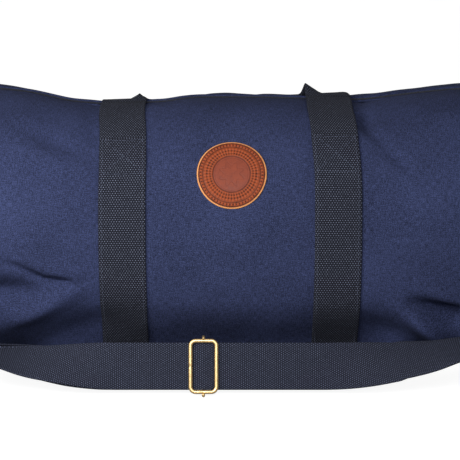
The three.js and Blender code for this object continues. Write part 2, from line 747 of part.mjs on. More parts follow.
// The strap's path between two of its steps.
function stretch(from, to) {
  const places = [];
  for (let i = from; i <= to; i += 1) {
    places.push({ share: i / STRAP_STEPS, ...strapFrame(i / STRAP_STEPS) });
  }
  return places;
}

// Webbing through a list of places, with its faces square to the way it goes.
function webbingThrough(places) {
  const steps = places.length - 1;
  return formed(steps, 2, (u, v, w) => {
    const i = Math.round(u * steps);
    const { point, wide } = places[i];
    const before = places[Math.max(i - 1, 0)].point;
    const along = places[Math.min(i + 1, steps)].point.clone().sub(before);
    const face = along.cross(wide).normalize();
    const q = point.clone().addScaledVector(wide, (v - 0.5) * WEBBING_WIDTH);
    return q.addScaledVector(face, (w - 0.5) * WEBBING);
  });
}

// The turn round a hook's eye bar, from the outer layer to the inner one.
function eyeTurn(share) {
  const { point, along, wide, face } = strapFrame(share);
  const onward = along.multiplyScalar(share < 0.5 ? -1 : 1);
  const radius = HOOK_WIRE + GAP + WEBBING / 2;
  const bends = 8;
  const places = [];
  for (let i = 0; i <= bends; i += 1) {
    const turn = (i / bends) * Math.PI;
    const around = point.clone().addScaledVector(onward, 6 + radius * Math.sin(turn));
    around.addScaledVector(face, radius * Math.cos(turn));
    places.push({ point: around, wide, face });
  }
  return places;
}

// The two layers are a wire's width apart at a hook. The outer one comes back to the middle line
// first, and the inner one closes up to it over the stretch where the webbing turns over.
const layersApart = 2 * (HOOK_WIRE + GAP + WEBBING / 2);

function opened(places, outer) {
  return places.map((place) => {
    const fromHook = Math.min(place.share, 1 - place.share);
    const outward = mix(layersApart / 2, 0, ease(clamp01(fromHook / OUTER_CLOSES)));
    const closed = ease(clamp01((fromHook - OUTER_CLOSES) / (LAYERS_CLOSE - OUTER_CLOSES)));
    const offset = outer ? outward : outward - mix(layersApart, LAYER_STEP, closed);
    return { ...place, point: place.point.clone().addScaledVector(place.face, offset) };
  });
}

const foldBackEnd = Math.ceil(shareAtX(FOLD_BACK_END_X) * STRAP_STEPS);
const returnEnd = Math.floor(shareAtX(ADJUSTER_X - END_LOOP_LENGTH - 2) * STRAP_STEPS);
const wholeStrap = [
  ...eyeTurn(0).reverse(),
  ...opened(stretch(0, STRAP_STEPS), true).slice(1, -1),
  ...eyeTurn(1),
  ...opened(stretch(foldBackEnd, STRAP_STEPS), false).reverse().slice(1),
];
add('shoulder_strap', webbingThrough(wholeStrap), 'strap');
const returnLayer = opened(stretch(0, returnEnd), false).slice(1);
add('shoulder_strap_return', webbingThrough(returnLayer), 'strap');

// ---- Adjuster ------------------------------------------------------------------------------

const run = strapFrame(shareAtX(ADJUSTER_X));

// A point of the adjuster: x along the strap, w across it and n in front of the webbing's middle.
function onRun(x, w, n) {
  const q = vec(ADJUSTER_X + x, run.point.y, run.point.z);
  return q.addScaledVector(run.wide, w).addScaledVector(run.face, n);
}

function adjusterFrame() {
  const corner = 5;
  const front = WEBBING / 2 + GAP + ADJUSTER_WIRE;
  const outline = new THREE.Shape();
  const [a, b] = [ADJUSTER_HALF_LENGTH, ADJUSTER_HALF_HEIGHT];
  outline.moveTo(a, 0);
  outline.lineTo(a, b - corner);
  outline.absarc(a - corner, b - corner, corner, 0, Math.PI / 2);
  outline.absarc(corner - a, b - corner, corner, Math.PI / 2, Math.PI);
  outline.absarc(corner - a, corner - b, corner, Math.PI, 1.5 * Math.PI);
  outline.absarc(a - corner, corner - b, corner, 1.5 * Math.PI, 2 * Math.PI);
  outline.lineTo(a, 0);
  const line = (turn) => {
    const q = outline.getPointAt(turn);
    return onRun(q.x, q.y, front);
  };
  return closedWire(line, () => run.face.clone(), ADJUSTER_WIRE, 40, 6);
}

function adjusterBar() {
  const railDepth = WEBBING / 2 + GAP + ADJUSTER_WIRE;
  const clear = ADJUSTER_WIRE + GAP + BAR_WIRE;
  const curl = [];
  for (const turn of [-55, -20, 20, 60]) {
    const w = ADJUSTER_HALF_HEIGHT + clear * Math.cos(turn * degrees);
    curl.push([w, railDepth + clear * Math.sin(turn * degrees)]);
  }
  const upper = [[0, BAR_DEPTH], [14, BAR_DEPTH], [25.6, BAR_DEPTH], [28.6, BAR_DEPTH + 2.2], ...curl];
  const lower = upper.slice(1).reverse().map(([w, n]) => [-w, n]);
  const knots = [...lower, ...upper].map(([w, n]) => onRun(0, w, n));
  return openWire(knots, BAR_WIRE, 36, 6);
}

// The webbing's end, sewn round the adjuster's bar.
function endLoop() {
  const radius = BAR_WIRE + GAP + WEBBING / 2;
  const corners = [[-END_LOOP_LENGTH, BAR_DEPTH + radius], [-14, BAR_DEPTH + radius]];
  const bends = 8;
  for (let i = 0; i <= bends; i += 1) {
    const turn = Math.PI / 2 - (i / bends) * Math.PI;
    corners.push([radius * Math.cos(turn), BAR_DEPTH + radius * Math.sin(turn)]);
  }
  corners.push([-10, BAR_DEPTH - radius], [-20, BAR_DEPTH - 1]);
  corners.push([-END_LOOP_LENGTH, BAR_DEPTH + radius - LAYER_STEP]);
  return webbingThrough(corners.map(([x, n]) => ({ point: onRun(x, 0, n), wide: run.wide })));
}

add('adjuster_frame', adjusterFrame(), 'brass');
add('adjuster_bar', adjusterBar(), 'brass');
add('shoulder_strap_end_loop', endLoop(), 'strap');

export default bag;
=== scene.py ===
"""A canvas weekender bag on a pale floor. Lengths in the shape code are millimetres."""

import math

import bmesh
import bpy
import numpy as np
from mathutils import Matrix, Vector


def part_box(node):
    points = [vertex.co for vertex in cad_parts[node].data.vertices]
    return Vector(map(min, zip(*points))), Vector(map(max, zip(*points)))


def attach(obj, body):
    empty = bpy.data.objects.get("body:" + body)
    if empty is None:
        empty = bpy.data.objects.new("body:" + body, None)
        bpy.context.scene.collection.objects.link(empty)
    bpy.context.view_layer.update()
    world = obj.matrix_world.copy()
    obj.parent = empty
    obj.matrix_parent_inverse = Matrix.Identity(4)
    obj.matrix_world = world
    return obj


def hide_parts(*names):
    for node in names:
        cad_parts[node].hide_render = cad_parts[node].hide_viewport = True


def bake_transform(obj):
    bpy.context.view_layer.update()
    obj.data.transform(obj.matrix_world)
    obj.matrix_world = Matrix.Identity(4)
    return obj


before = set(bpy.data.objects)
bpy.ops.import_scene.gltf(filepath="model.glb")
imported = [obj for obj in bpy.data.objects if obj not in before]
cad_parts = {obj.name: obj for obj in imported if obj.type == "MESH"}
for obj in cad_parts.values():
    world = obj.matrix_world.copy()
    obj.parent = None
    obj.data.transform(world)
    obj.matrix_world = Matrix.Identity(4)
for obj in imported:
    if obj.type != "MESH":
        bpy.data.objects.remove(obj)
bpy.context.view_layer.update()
MM = 0.001
TAU = 2 * math.pi

# The bag's section, as the CAD has it.
GAP = 0.3
HALF_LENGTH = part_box("front_panel")[1].x / MM
BASE_HALF_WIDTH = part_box("base_panel")[1].y / MM + GAP
HALF_DEPTH = -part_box("front_panel")[0].y / MM
DEPTH_LOSS_AT_ENDS = 5
HEM_Y = -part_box("front_panel")[1].y / MM
ZIP_LINE_HEIGHT = 294.5
ZIP_LINE_RADIUS = 3400
WIDEST_HEIGHT = 140
TOP_ROUNDNESS = 2.5
BOTTOM_ROUNDNESS = 2.3
CANVAS = 2.5
WEBBING_WIDTH = 50
WEBBING = 2
STRAP_X = (-113, 113)
SEWN_TOP = 37 / 180
SEWN_BOTTOM = 0.9
PATCH_PLACE = 59.5 / 180
PIPING_RADIUS = 3.0
ZIP_HALF_LENGTH = 274
END_X = 278
END_DOME = 3.5
RING_X = 293
RING_HEIGHT = 240
RING_INNER_RADIUS = 21.25 - 2.25
HOOK_ANGLE = math.radians(35)
EYE_BAR = 66
HOOK_WIRE = 2

# What the slack cloth does beyond the CAD.
BASE_TAPER, TAPER_FROM, TAPER_OVER = 42, 175, 60
ZIP_DROP = 1.6
HANDLE_DRIFT = 4.5
# Where the carrying handles press the zip line down: depth, place along the bag, width.
PRESSED = ((9, -118, 36), (8, -172, 40), (3.5, -72, 24), (5.5, 135, 62))


def ease(share):
    share = np.clip(share, 0, 1)
    return share * share * (3 - 2 * share)


def mix(a, b, share):
    return a + (b - a) * share


def joined(*parts):
    """Points or UVs from their coordinates, along a new last axis."""
    return np.stack(np.broadcast_arrays(*parts), axis=-1)


def arc(middle, radius, turns):
    """Points round a middle, at turns in radians."""
    return [(middle[0] + radius * math.cos(t), middle[1] + radius * math.sin(t)) for t in turns]


def unit(v):
    return v / np.maximum(np.linalg.norm(v, axis=-1, keepdims=True), 1e-9)


def bell(value, middle, width, power=2):
    return np.exp(-(((value - middle) / width) ** power))


# ---- The bag's surface ----


def saddle(x):
    """How far the carrying handles press the zip line down."""
    return sum(depth * bell(x, place, width) for depth, place, width in PRESSED)


def zip_line(x):
    bow = ZIP_LINE_RADIUS - np.sqrt(ZIP_LINE_RADIUS**2 - x * x)
    return ZIP_LINE_HEIGHT + bow - saddle(x)


def base_half_width(x):
    return BASE_HALF_WIDTH - BASE_TAPER * ease((np.abs(x) - TAPER_FROM) / TAPER_OVER)


def section(x, t):
    """Half a section: distance from the middle and height, from the zip, t = 0, to the base, 1."""
    angle = np.clip(t, 0, 1) * math.pi
    rise, reach = np.abs(np.cos(angle)), np.sin(angle)
    depth = HALF_DEPTH - DEPTH_LOSS_AT_ENDS * (x / HALF_LENGTH) ** 2
    top_y = HEM_Y + reach ** (2 / TOP_ROUNDNESS) * (depth - HEM_Y)
    top_z = WIDEST_HEIGHT + rise ** (2 / TOP_ROUNDNESS) * (zip_line(x) - WIDEST_HEIGHT)
    low_y = mix(base_half_width(x), depth, reach ** (2 / BOTTOM_ROUNDNESS))
    low_z = WIDEST_HEIGHT - rise ** (2 / BOTTOM_ROUNDNESS) * WIDEST_HEIGHT
    upper = t < 0.5
    return np.where(upper, top_y, low_y), np.where(upper, top_z, low_z)


def section_normal(x, t):
    y0, z0 = section(x, np.clip(t - 0.002, 0.0005, 1))
    y1, z1 = section(x, np.clip(t + 0.002, 0.0045, 1))
    length = np.maximum(np.hypot(y1 - y0, z1 - z0), 1e-9)
    return -(z1 - z0) / length, (y1 - y0) / length


STEPS_T = np.linspace(0, 1, 801)
_y, _z = section(0.0, STEPS_T)
DISTANCES = np.concatenate([[0], np.cumsum(np.hypot(np.diff(_y), np.diff(_z)))])


def place_at(distance):
    return np.interp(distance, DISTANCES, STEPS_T)


def distance_at(t):
    return np.interp(t, STEPS_T, DISTANCES)


def blob(x, z, middle, radii, tilt=0.0):
    c, s = math.cos(math.radians(tilt)), math.sin(math.radians(tilt))
    u = (x - middle[0]) * c + (z - middle[1]) * s
    v = (z - middle[1]) * c - (x - middle[0]) * s
    return np.exp(-((u / radii[0]) ** 2) - (v / radii[1]) ** 2)


def crease(x, z, line, strengths, profile):
    """A fold along a line of points: profile gives the relief at a distance above the line."""
    best = np.full(np.shape(x), 1e9)
    offset, strength = np.zeros(np.shape(x)), np.zeros(np.shape(x))
    for (a, b), (sa, sb) in zip(zip(line, line[1:]), zip(strengths, strengths[1:])):
        ax, az, dx, dz = a[0], a[1], b[0] - a[0], b[1] - a[1]
        length2 = dx * dx + dz * dz
        share = np.clip(((x - ax) * dx + (z - az) * dz) / length2, 0, 1)
        away = np.hypot(x - ax - share * dx, z - az - share * dz)
        side = np.sign(dx * (z - az) - dz * (x - ax))
        nearer = away < best
        best = np.where(nearer, away, best)
        offset = np.where(nearer, away * side, offset)
        strength = np.where(nearer, mix(sa, sb, share), strength)
    return strength * profile(offset)


def fold_profile(above, depth, below, width=5.0):
    """A valley on the line, with a swell of cloth above it and another below."""
    return lambda q: above * bell(q, 11, 12) - depth * bell(q, 0, width) + below * bell(q, -24, 13)


def ripples(x, s, seed, count, lengths, height):
    """Soft random waves over the cloth, bent by a slower wave so that no crest runs straight."""
    rng = np.random.default_rng(seed)
    bent_x = x + 14 * np.sin(s / 47 + rng.uniform(0, TAU))
    bent_s = s + 14 * np.sin(x / 53 + rng.uniform(0, TAU))
    total = np.zeros(np.shape(x))
    for _ in range(count):
        angle, length = rng.uniform(0, math.pi), rng.uniform(*lengths)
        phase = rng.uniform(0, TAU)
        way = bent_x * math.cos(angle) + bent_s * math.sin(angle)
        total += np.sin(way * TAU / length + phase)
    return total * height / math.sqrt(count)


# Creases: their line on the front (x, z), the strength at each point and the profile.
FRONT_CREASES = (
    ([(-240, 137), (-222, 131), (-207, 123), (-196, 118), (-184, 117), (-172, 115), (-166, 108)],
     [0.3, 0.8, 1.2, 1.4, 1.5, 1.2, 0.0], fold_profile(3.5, 6.5, 0, 4.4)),
    ([(184, 96), (198, 91), (211, 87), (230, 80), (262, 69)],
     [0.0, 0.7, 1.2, 1.6, 1.6], fold_profile(4, 10.5, 3, 10)),
)
BACK_CREASES = (
    ([(-262, 120), (-214, 128), (-172, 118)], [1, 0.8, 0], fold_profile(2.5, 5, 3)),
    ([(160, 104), (206, 112), (262, 104)], [0, 0.8, 1], fold_profile(2.5, 5, 3)),
)
# Swells and dents: height, middle (x, z), radii and tilt in degrees.
FRONT_SWELLS = (
    (-17, (-243, 102), (35, 16), 4),
    (12, (-206, 83), (44, 12), 27),
    (-8, (-160, 58), (52, 20), 20),
    (-12, (246, 73), (29, 14), -14),
    (14, (212, 62), (32, 11), -38),
    (-8, (168, 55), (28, 16), -30),
    (-8, (147, 281), (8, 9), 0),
    (-2.5, (156, 284), (18, 10), 0),
    (-4.4, (158, 266), (20, 6), -36),
    (2.5, (168, 258), (22, 7), -36),
    (-4, (178, 245), (24, 7), -38),
    (3, (194, 222), (36, 14), -20),
    (-4, (-148, 272), (11, 14), 0),
    (-4.6, (-190, 262), (42, 8), -20),
    (3.4, (-196, 243), (46, 10), -18),
    (-3, (-170, 226), (40, 9), -14),
    (-1.4, (-166, 172), (34, 7), 6),
    (-1.2, (176, 168), (40, 8), -8),
)
BACK_SWELLS = ((-3, (-190, 60), (46, 16), 10), (-3, (196, 62), (44, 15), -10))


def folds_on(side, x, z):
    creases, swells = (FRONT_CREASES, FRONT_SWELLS) if side < 0 else (BACK_CREASES, BACK_SWELLS)
    relief = sum(crease(x, z, *fold) for fold in creases)
    return relief + sum(height * blob(x, z, *form) for height, *form in swells)


def seam_hold(x, t):
    """0 at the end seams and at the base, where the cloth is held, and 1 in the open."""
    return (1 - bell(np.abs(x), HALF_LENGTH, 14)) * (1 - bell(t, 1, 0.06))


def broad_relief(side, x, t):
    """Folds, slow waves, the bulge of each panel between the straps and the slack at the zip."""
    s = distance_at(t)
    waves = ripples(x, s, 5 if side < 0 else 8, 7, (90, 190), 0.9)
    panels = 1.6 * np.cos((x + 1) / 222 * TAU) * np.sin(np.clip(t, 0, 1) * math.pi)
    relief = folds_on(side, x, section(x, t)[1]) + (waves + panels) * ease(s / 30)
    if side < 0:
        sunk = ZIP_DROP * bell(s, 0, 9)
    else:
        sunk = (9 * bell(x, -130, 105, 4) + 5 * bell(x, 66, 56)) * bell(s, 60, 56)
    return (relief - sunk) * seam_hold(x, t)


def undercut(x, t, y, z):
    """How far the slack front hangs back under itself, down to the edge of the base."""
    foot = mix(base_half_width(x), BASE_HALF_WIDTH, ease(z / 60))
    limit = foot + 1 + 0.38 * z + 30 * ease((z - 16) / 78)
    over = y - limit
    softened = (over + np.sqrt(over * over + 30)) / 2 * ease((t - 0.4) / 0.1) * ease(z / 3)
    ends = ease((HALF_LENGTH - np.abs(x)) / 36)
    return softened * ends * (1 - 0.25 * ease((np.abs(x) - 140) / 60))


def fine_relief(side, x, t):
    """Small ripples, puckers beside the sewn straps and the hollow of the hem's seam."""
    s = distance_at(t)
    waves = ripples(x, s, 21 if side < 0 else 34, 9, (16, 46), 0.16)
    wide = ripples(x, s, 55 if side < 0 else 89, 6, (40, 80), 0.3)
    relief = (waves + wide) * seam_hold(x, t)
    for middle in STRAP_X:
        edge = np.abs(x - middle) - WEBBING_WIDTH / 2
        pucker = 1 + 0.45 * np.sin(s * TAU / 13 + middle) + 0.3 * np.sin(s * TAU / 7.3)
        relief -= 0.5 * bell(np.maximum(edge, 0), 0, 5) * pucker
    hem = 1 + 0.25 * np.sin(x * TAU / 12.4) + 0.2 * np.sin(x * TAU / 7.7)
    return relief - 1.1 * bell(s, 5, 1.4) * hem


def skin(side, x, t, lift=0.0, fine=False):
    """Points on the bag's cloth, in millimetres."""
    x, t = np.broadcast_arrays(np.asarray(x, float), np.asarray(t, float))
    y, z = section(x, t)
    ny, nz = section_normal(x, t)
    if side < 0:
        y = y - undercut(x, t, y, z)
    rise = lift + broad_relief(side, x, t)
    if fine:
        rise = rise + fine_relief(side, x, t)
    return joined(x, side * (y + ny * rise), np.maximum(z + nz * rise, 0.2))


def over_the_top(x, distance, lift):
    """From the front attachment over the zip and down the back."""
    from_middle = distance - ATTACH - HEM_Y
    if abs(from_middle) <= HEM_Y:
        return np.array([x, from_middle, float(zip_line(x)) + lift])
    t = place_at(abs(from_middle) - HEM_Y)
    return skin(math.copysign(1, from_middle), x, t, lift)


def down_the_back(x, distance, lift):
    return skin(1, x, place_at(ATTACH + distance), lift)


ATTACH = float(distance_at(SEWN_TOP))


def strap_line(side, middle, t):
    """The middle of a sewn strap: in front they bow outwards a little at mid height."""
    if side > 0:
        return np.full(np.shape(t), float(middle))
    z = section(middle, t)[1]
    bow = ease((270 - z) / 60) * (1 - 0.4 * ease((150 - z) / 60))
    return middle + bow * (1.5 if middle > 0 else -1.0) - HANDLE_DRIFT / 3 * ease((z - 230) / 42)


# ---- Materials ----


class Nodes:
    """A node tree built by name, with each call returning an output socket."""

    def __init__(self, name, color, roughness, **fixed):
        self.material = bpy.data.materials.new(name)
        self.material.use_nodes = True
        self.tree = self.material.node_tree
        self.shader = self.tree.nodes["Principled BSDF"]
        self.shader.inputs["Base Color"].default_value = (*color, 1)
        self.shader.inputs["Roughness"].default_value = roughness
        for socket, value in fixed.items():
            self.shader.inputs[socket.replace("_", " ")].default_value = value

    def new(self, kind):
        return self.tree.nodes.new("ShaderNode" + kind)

    def put(self, socket, value):
        if isinstance(value, bpy.types.NodeSocket):
            self.tree.links.new(value, socket)
        else:
            socket.default_value = value

    def node(self, kind, output=0, inputs=None, **settings):
        made = self.new(kind)
        for key, value in settings.items():
            setattr(made, key, value)
        for key, value in (inputs or {}).items():
            self.put(made.inputs[key], value)
        return made.outputs[output]

    def math(self, operation, a, b=0.0):
        return self.node("Math", 0, {0: a, 1: b}, operation=operation)

    def times(self, a, b):
        return self.math("MULTIPLY", a, b)

    def plus(self, a, b):
        return self.math("ADD", a, b)

    def total(self, *terms):
        """The sum of (value, weight) pairs."""
        parts = [v if w == 1 else self.times(v, w) for v, w in terms]
        made = parts[0]
        for part in parts[1:]:
            made = self.plus(made, part)
        return made

    def uv(self):
        return self.node("UVMap", 0, uv_map="UV")

    def place(self):
        return self.node("TexCoord", 3)

    def split(self, vector):
        made = self.new("SeparateXYZ")
        self.put(made.inputs[0], vector)
        return made.outputs[0], made.outputs[1], made.outputs[2]

    def noise(self, vector, scale, detail=3.0, roughness=0.55):
        inputs = {"Vector": vector, "Scale": scale, "Detail": detail, "Roughness": roughness}
        return self.node("TexNoise", 0, inputs)

    def remap(self, value, low, high, out_low=0.0, out_high=1.0):
        inputs = {0: value, 1: low, 2: high, 3: out_low, 4: out_high}
        return self.node("MapRange", 0, inputs, clamp=True)

    def stretched(self, vector, factors):
        return self.node("VectorMath", 0, {0: vector, 1: factors}, operation="MULTIPLY")

    def colors(self, factor, stops):
        made = self.new("ValToRGB")
        ramp = made.color_ramp
        while len(ramp.elements) < len(stops):
            ramp.elements.new(0.5)
        for element, (place, color) in zip(ramp.elements, stops):
            element.position, element.color = place, (*color, 1)
        self.put(made.inputs[0], factor)
        return made.outputs[0]

    def mixed(self, factor, a, b):
        made = self.new("Mix")
        made.data_type = "RGBA"
        self.put(made.inputs[0], factor)
        for index, value in ((6, a), (7, b)):
            self.put(made.inputs[index], (*value, 1) if isinstance(value, tuple) else value)
        return made.outputs[2]

    def bump(self, height, distance, strength):
        return self.node("Bump", 0, {"Height": height, "Distance": distance, "Strength": strength})

    def finish(self, color=None, roughness=None, normal=None):
        for name, value in (("Base Color", color), ("Roughness", roughness), ("Normal", normal)):
            if value is not None:
                self.put(self.shader.inputs[name], value)
        return self.material


def scaled(color, factor):
    return tuple(c * factor for c in color)


def canvas_material(name, color, thread=0.00055):
    """Plain-woven cotton canvas: crossing threads, slubs in both ways and a cloudy dye."""
    n = Nodes(name, color, 0.95, Specular_IOR_Level=0.12)
    uv = n.uv()
    u, v, _ = n.split(uv)
    warp = n.math("SINE", n.times(u, math.pi / thread))
    weft = n.math("SINE", n.times(v, math.pi / thread))
    weave = n.times(warp, weft)
    slubs = n.plus(*(n.noise(n.stretched(uv, way), 1.0, 2.0)
                            for way in ((170, 1100, 1), (1100, 170, 1))))
    grain = n.noise(uv, 1250.0, 2.0)
    clouds = n.noise(uv, 9.0, 4.0)
    shade = n.total((n.remap(slubs, 0.7, 1.3), 0.34), (n.remap(grain, 0.32, 0.68), 0.54),
                    (n.remap(clouds, 0.3, 0.7, 0, 0.14), 1))
    tone = n.colors(shade, [(0.26, scaled(color, 0.3)), (0.52, color), (0.8, scaled(color, 2.1))])
    height = n.total((weave, 0.5), (slubs, 1.2), (grain, 1))
    return n.finish(tone, None, n.bump(height, 0.00022, 1.0))


def webbing_material(name, color, knuckle_highlight, pitch=(0.0028, 0.0023)):
    """Heavy woven webbing: rows of raised yarn knuckles set like bricks, with painted highlights on
    their tops and painted shade between them.
    """
    n = Nodes(name, color, 0.92, Specular_IOR_Level=0.15)
    uv = n.uv()
    u, v, _ = n.split(uv)
    row = n.math("DIVIDE", v, pitch[1])
    shift = n.times(n.math("FLOORED_MODULO", n.math("FLOOR", row), 2.0), 0.5)
    column = n.plus(n.math("DIVIDE", u, pitch[0]), shift)
    across = n.math("SINE", n.times(n.math("FRACT", column), math.pi))
    along = n.math("SINE", n.times(n.math("FRACT", row), math.pi))
    knuckle = n.times(across, along)
    grain = n.noise(uv, 1400.0, 2.0)
    patches = n.noise(uv, 38.0, 3.0)
    # Painted highlight on the knuckle tops, and painted shade in the gaps between them.
    lit = n.times(n.math("POWER", knuckle, 3.2), n.remap(grain, 0.35, 0.7, 0.35, 1))
    tone = n.colors(lit, [(0.0, scaled(color, 0.4)), (0.25, color), (0.9, knuckle_highlight)])
    tone = n.mixed(n.remap(patches, 0.3, 0.75, 0, 0.3), tone, scaled(color, 0.8))
    height = n.total((knuckle, 1), (grain, 0.25))
    return n.finish(tone, None, n.bump(height, 0.0005, 0.9))


def thread_material(name, color):
    n = Nodes(name, color, 0.8, Specular_IOR_Level=0.2)
    twist = n.noise(n.place(), 900.0, 2.0)
    tone = n.colors(twist, [(0.3, scaled(color, 0.6)), (0.7, scaled(color, 1.4))])
    return n.finish(tone, None, n.bump(twist, 0.0001, 0.6))


def leather_material(name, light, dark, tooled=False):
    """Vegetable-tanned leather with pores and a mottled dye, and painted shade in the tooled
    hollows.
    """
    n = Nodes(name, light, 0.5, Specular_IOR_Level=0.12)
    place = n.place()
    pores = n.node("TexVoronoi", 0, {"Vector": place, "Scale": 1500.0})
    mottle = n.noise(place, 130.0, 5.0, 0.65)
    spots = n.noise(place, 620.0, 2.0)
    shade = n.total((n.remap(mottle, 0.3, 0.7), 0.35), (n.remap(spots, 0.3, 0.7), 0.25))
    if tooled:
        hollow, band, _ = n.split(n.uv())
        # Painted shade: the tooling's depth, carried in U, darkens the leather in its hollows.
        shade = n.plus(shade, n.remap(hollow, 0.05, 0.9, -0.3, 0.85))
    else:
        shade = n.plus(shade, 0.35)
    tone = n.colors(shade, [(0.0, dark), (0.5, mix_color(dark, light, 0.6)), (1.0, light)])
    if tooled:
        flat = n.mixed(0.55, tone, (0.185, 0.045, 0.03))
        tone = n.mixed(band, flat, tone)
    rough = n.remap(mottle, 0.3, 0.7, 0.42, 0.62)
    height = n.math("SUBTRACT", n.times(spots, 0.6), n.times(pores, 0.7))
    return n.finish(tone, rough, n.bump(height, 0.00018, 0.7))


def mix_color(a, b, share):
    return tuple(mix(p, q, share) for p, q in zip(a, b))


def brass_material(name, color):
    """Brass-plated wire: satin, with fine draw marks and dull spots."""
    n = Nodes(name, color, 0.38, Metallic=1.0)
    place = n.place()
    marks = n.noise(n.stretched(place, (900, 900, 120)), 1.0, 3.0)
    spots = n.noise(place, 240.0, 4.0, 0.6)
    dull = n.remap(spots, 0.45, 0.7)
    tone = n.mixed(dull, color, scaled(color, 0.68))
    rough = n.plus(n.remap(marks, 0.3, 0.7, 0.34, 0.46), n.times(dull, 0.16))
    return n.finish(tone, rough, n.bump(marks, 0.00004, 0.5))


def plastic_material(name, color):
    n = Nodes(name, color, 0.42)
    grain = n.noise(n.place(), 700.0, 3.0)
    tone = n.colors(grain, [(0.3, scaled(color, 0.7)), (0.7, scaled(color, 1.3))])
    return n.finish(tone, n.remap(grain, 0.3, 0.7, 0.36, 0.5), n.bump(grain, 0.00004, 0.5))


# A look is a material and the slot that it stands for.
NAVY = (0.0235, 0.0305, 0.074)
CANVAS_LOOK = canvas_material("navy_canvas", NAVY), "canvas"
BINDING_LOOK = canvas_material("navy_binding", scaled(NAVY, 0.9), 0.0007), "canvas"
TAPE_LOOK = canvas_material("zip_tape_weave", scaled(NAVY, 0.55), 0.0008), "tape"
# The second colour of each webbing is the painted highlight on its knuckle tops.
WEBBING_LOOK = webbing_material("dark_webbing", (0.0175, 0.0193, 0.031),
                                (0.27, 0.305, 0.42)), "webbing"
STRAP_LOOK = webbing_material("strap_webbing", (0.0245, 0.0278, 0.0465), (0.185, 0.212, 0.32),
                              (0.0024, 0.002)), "strap_webbing"
TAB_LOOK = webbing_material("tab_webbing", (0.018, 0.02, 0.03), (0.05, 0.056, 0.08)), "webbing"
STRAP_THREAD_LOOK = thread_material("webbing_thread", (0.052, 0.06, 0.092)), "webbing"
NAVY_THREAD_LOOK = thread_material("navy_thread", (0.022, 0.028, 0.062)), "canvas"
LEATHER_LOOK = leather_material("brown_leather", (0.27, 0.056, 0.018), (0.04, 0.011, 0.007),
                                True), "leather"
CUT_EDGE = leather_material("cut_leather_edge", (0.62, 0.28, 0.1), (0.34, 0.13, 0.045))
BRASS_LOOK = brass_material("brass", (0.86, 0.62, 0.30)), "brass"
TEETH_LOOK = plastic_material("zip_teeth", (0.02, 0.022, 0.032)), "coil"


# ---- Mesh building ----


def face_out(mesh):
    """Turns a closed mesh round if its faces point inwards."""
    if sum(p.center.dot(p.normal) * p.area for p in mesh.polygons) < 0:
        mesh.flip_normals()


def linked(name, data):
    made = bpy.data.objects.new(name, data)
    bpy.context.scene.collection.objects.link(made)
    return made


def mesh_object(name, verts, faces, uvs, look, body, node=(), angle=None):
    """verts in millimetres; uvs per vertex in metres; rides on a body and may replace CAD nodes."""
    material, slot = look
    mesh = bpy.data.meshes.new(name)
    verts = np.asarray(verts, float).reshape(-1, 3) * MM
    mesh.from_pydata(verts.tolist(), [], [tuple(f) for f in faces])
    if uvs is not None:
        layer = mesh.uv_layers.new(name="UV")
        loops = np.empty(len(mesh.loops), int)
        mesh.loops.foreach_get("vertex_index", loops)
        layer.data.foreach_set("uv", np.asarray(uvs, float).reshape(-1, 2)[loops].ravel())
    mesh.materials.append(material)
    mesh.polygons.foreach_set("use_smooth", [True] * len(mesh.polygons))
    if angle is not None:
        mesh.set_sharp_from_angle(angle=math.radians(angle))
    mesh.update()
    face_out(mesh)
    made = linked(name, mesh)
    if node:
        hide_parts(*node)
    if body:
        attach(made, body)
    return made


def grid_faces(rows, columns, first=0, flip=False, wrap=False):
    faces = []
    for i in range(rows - 1):
        for j in range(columns if wrap else columns - 1):
            k = (j + 1) % columns
            quad = [i * columns + j, i * columns + k, (i + 1) * columns + k, (i + 1) * columns + j]
            quad = [first + q for q in quad]
            faces.append(quad[::-1] if flip else quad)
    return faces


def capped_faces(rows, columns, first=0):
    """The faces of a closed tube of rings, with an end cap on the first ring and on the last."""
    faces = grid_faces(rows, columns, first, wrap=True)
    faces.append([first + k for k in range(columns)][::-1])
    faces.append([first + (rows - 1) * columns + k for k in range(columns)])
    return faces


def slab(name, outer, inner, uv, look, body, node):
    """A closed sheet between two grids of points of the same shape."""
    rows, columns = outer.shape[:2]
    count = rows * columns
    faces = grid_faces(rows, columns) + grid_faces(rows, columns, count, flip=True)
    rim = [(0, j) for j in range(columns)] + [(i, columns - 1) for i in range(1, rows)]
    rim += [(rows - 1, j) for j in range(columns - 2, -1, -1)]
    rim += [(i, 0) for i in range(rows - 2, 0, -1)]
    ring = [i * columns + j for i, j in rim]
    for a, b in zip(ring, ring[1:] + ring[:1]):
        faces.append([b, a, a + count, b + count])
    verts = np.concatenate([outer.reshape(-1, 3), inner.reshape(-1, 3)])
    uvs = np.concatenate([uv.reshape(-1, 2), uv.reshape(-1, 2)])
    mesh_object(name, verts, faces, uvs, look, body, node, angle=60)


def lengths_along(points):
    steps = np.linalg.norm(np.diff(points, axis=0), axis=1)
    return np.concatenate([[0], np.cumsum(steps)])


def webbing_profile(width, thickness, across=14):
    """The section of a webbing: flat faces, thicker selvedges and round edges."""
    half, edge = width / 2, thickness / 2
    spread = np.linspace(-(half - edge), half - edge, across)
    swell = 1 + 0.12 * bell(half - np.abs(spread), 2.2, 2.2)
    top = [(a, edge * s) for a, s in zip(spread, swell)]
    right = arc((half - edge, 0), edge, np.radians([60, 25, -25, -60]))
    bottom = [(-a, -b) for a, b in top]
    left = [(-a, -b) for a, b in right]
    return top + right + bottom + left


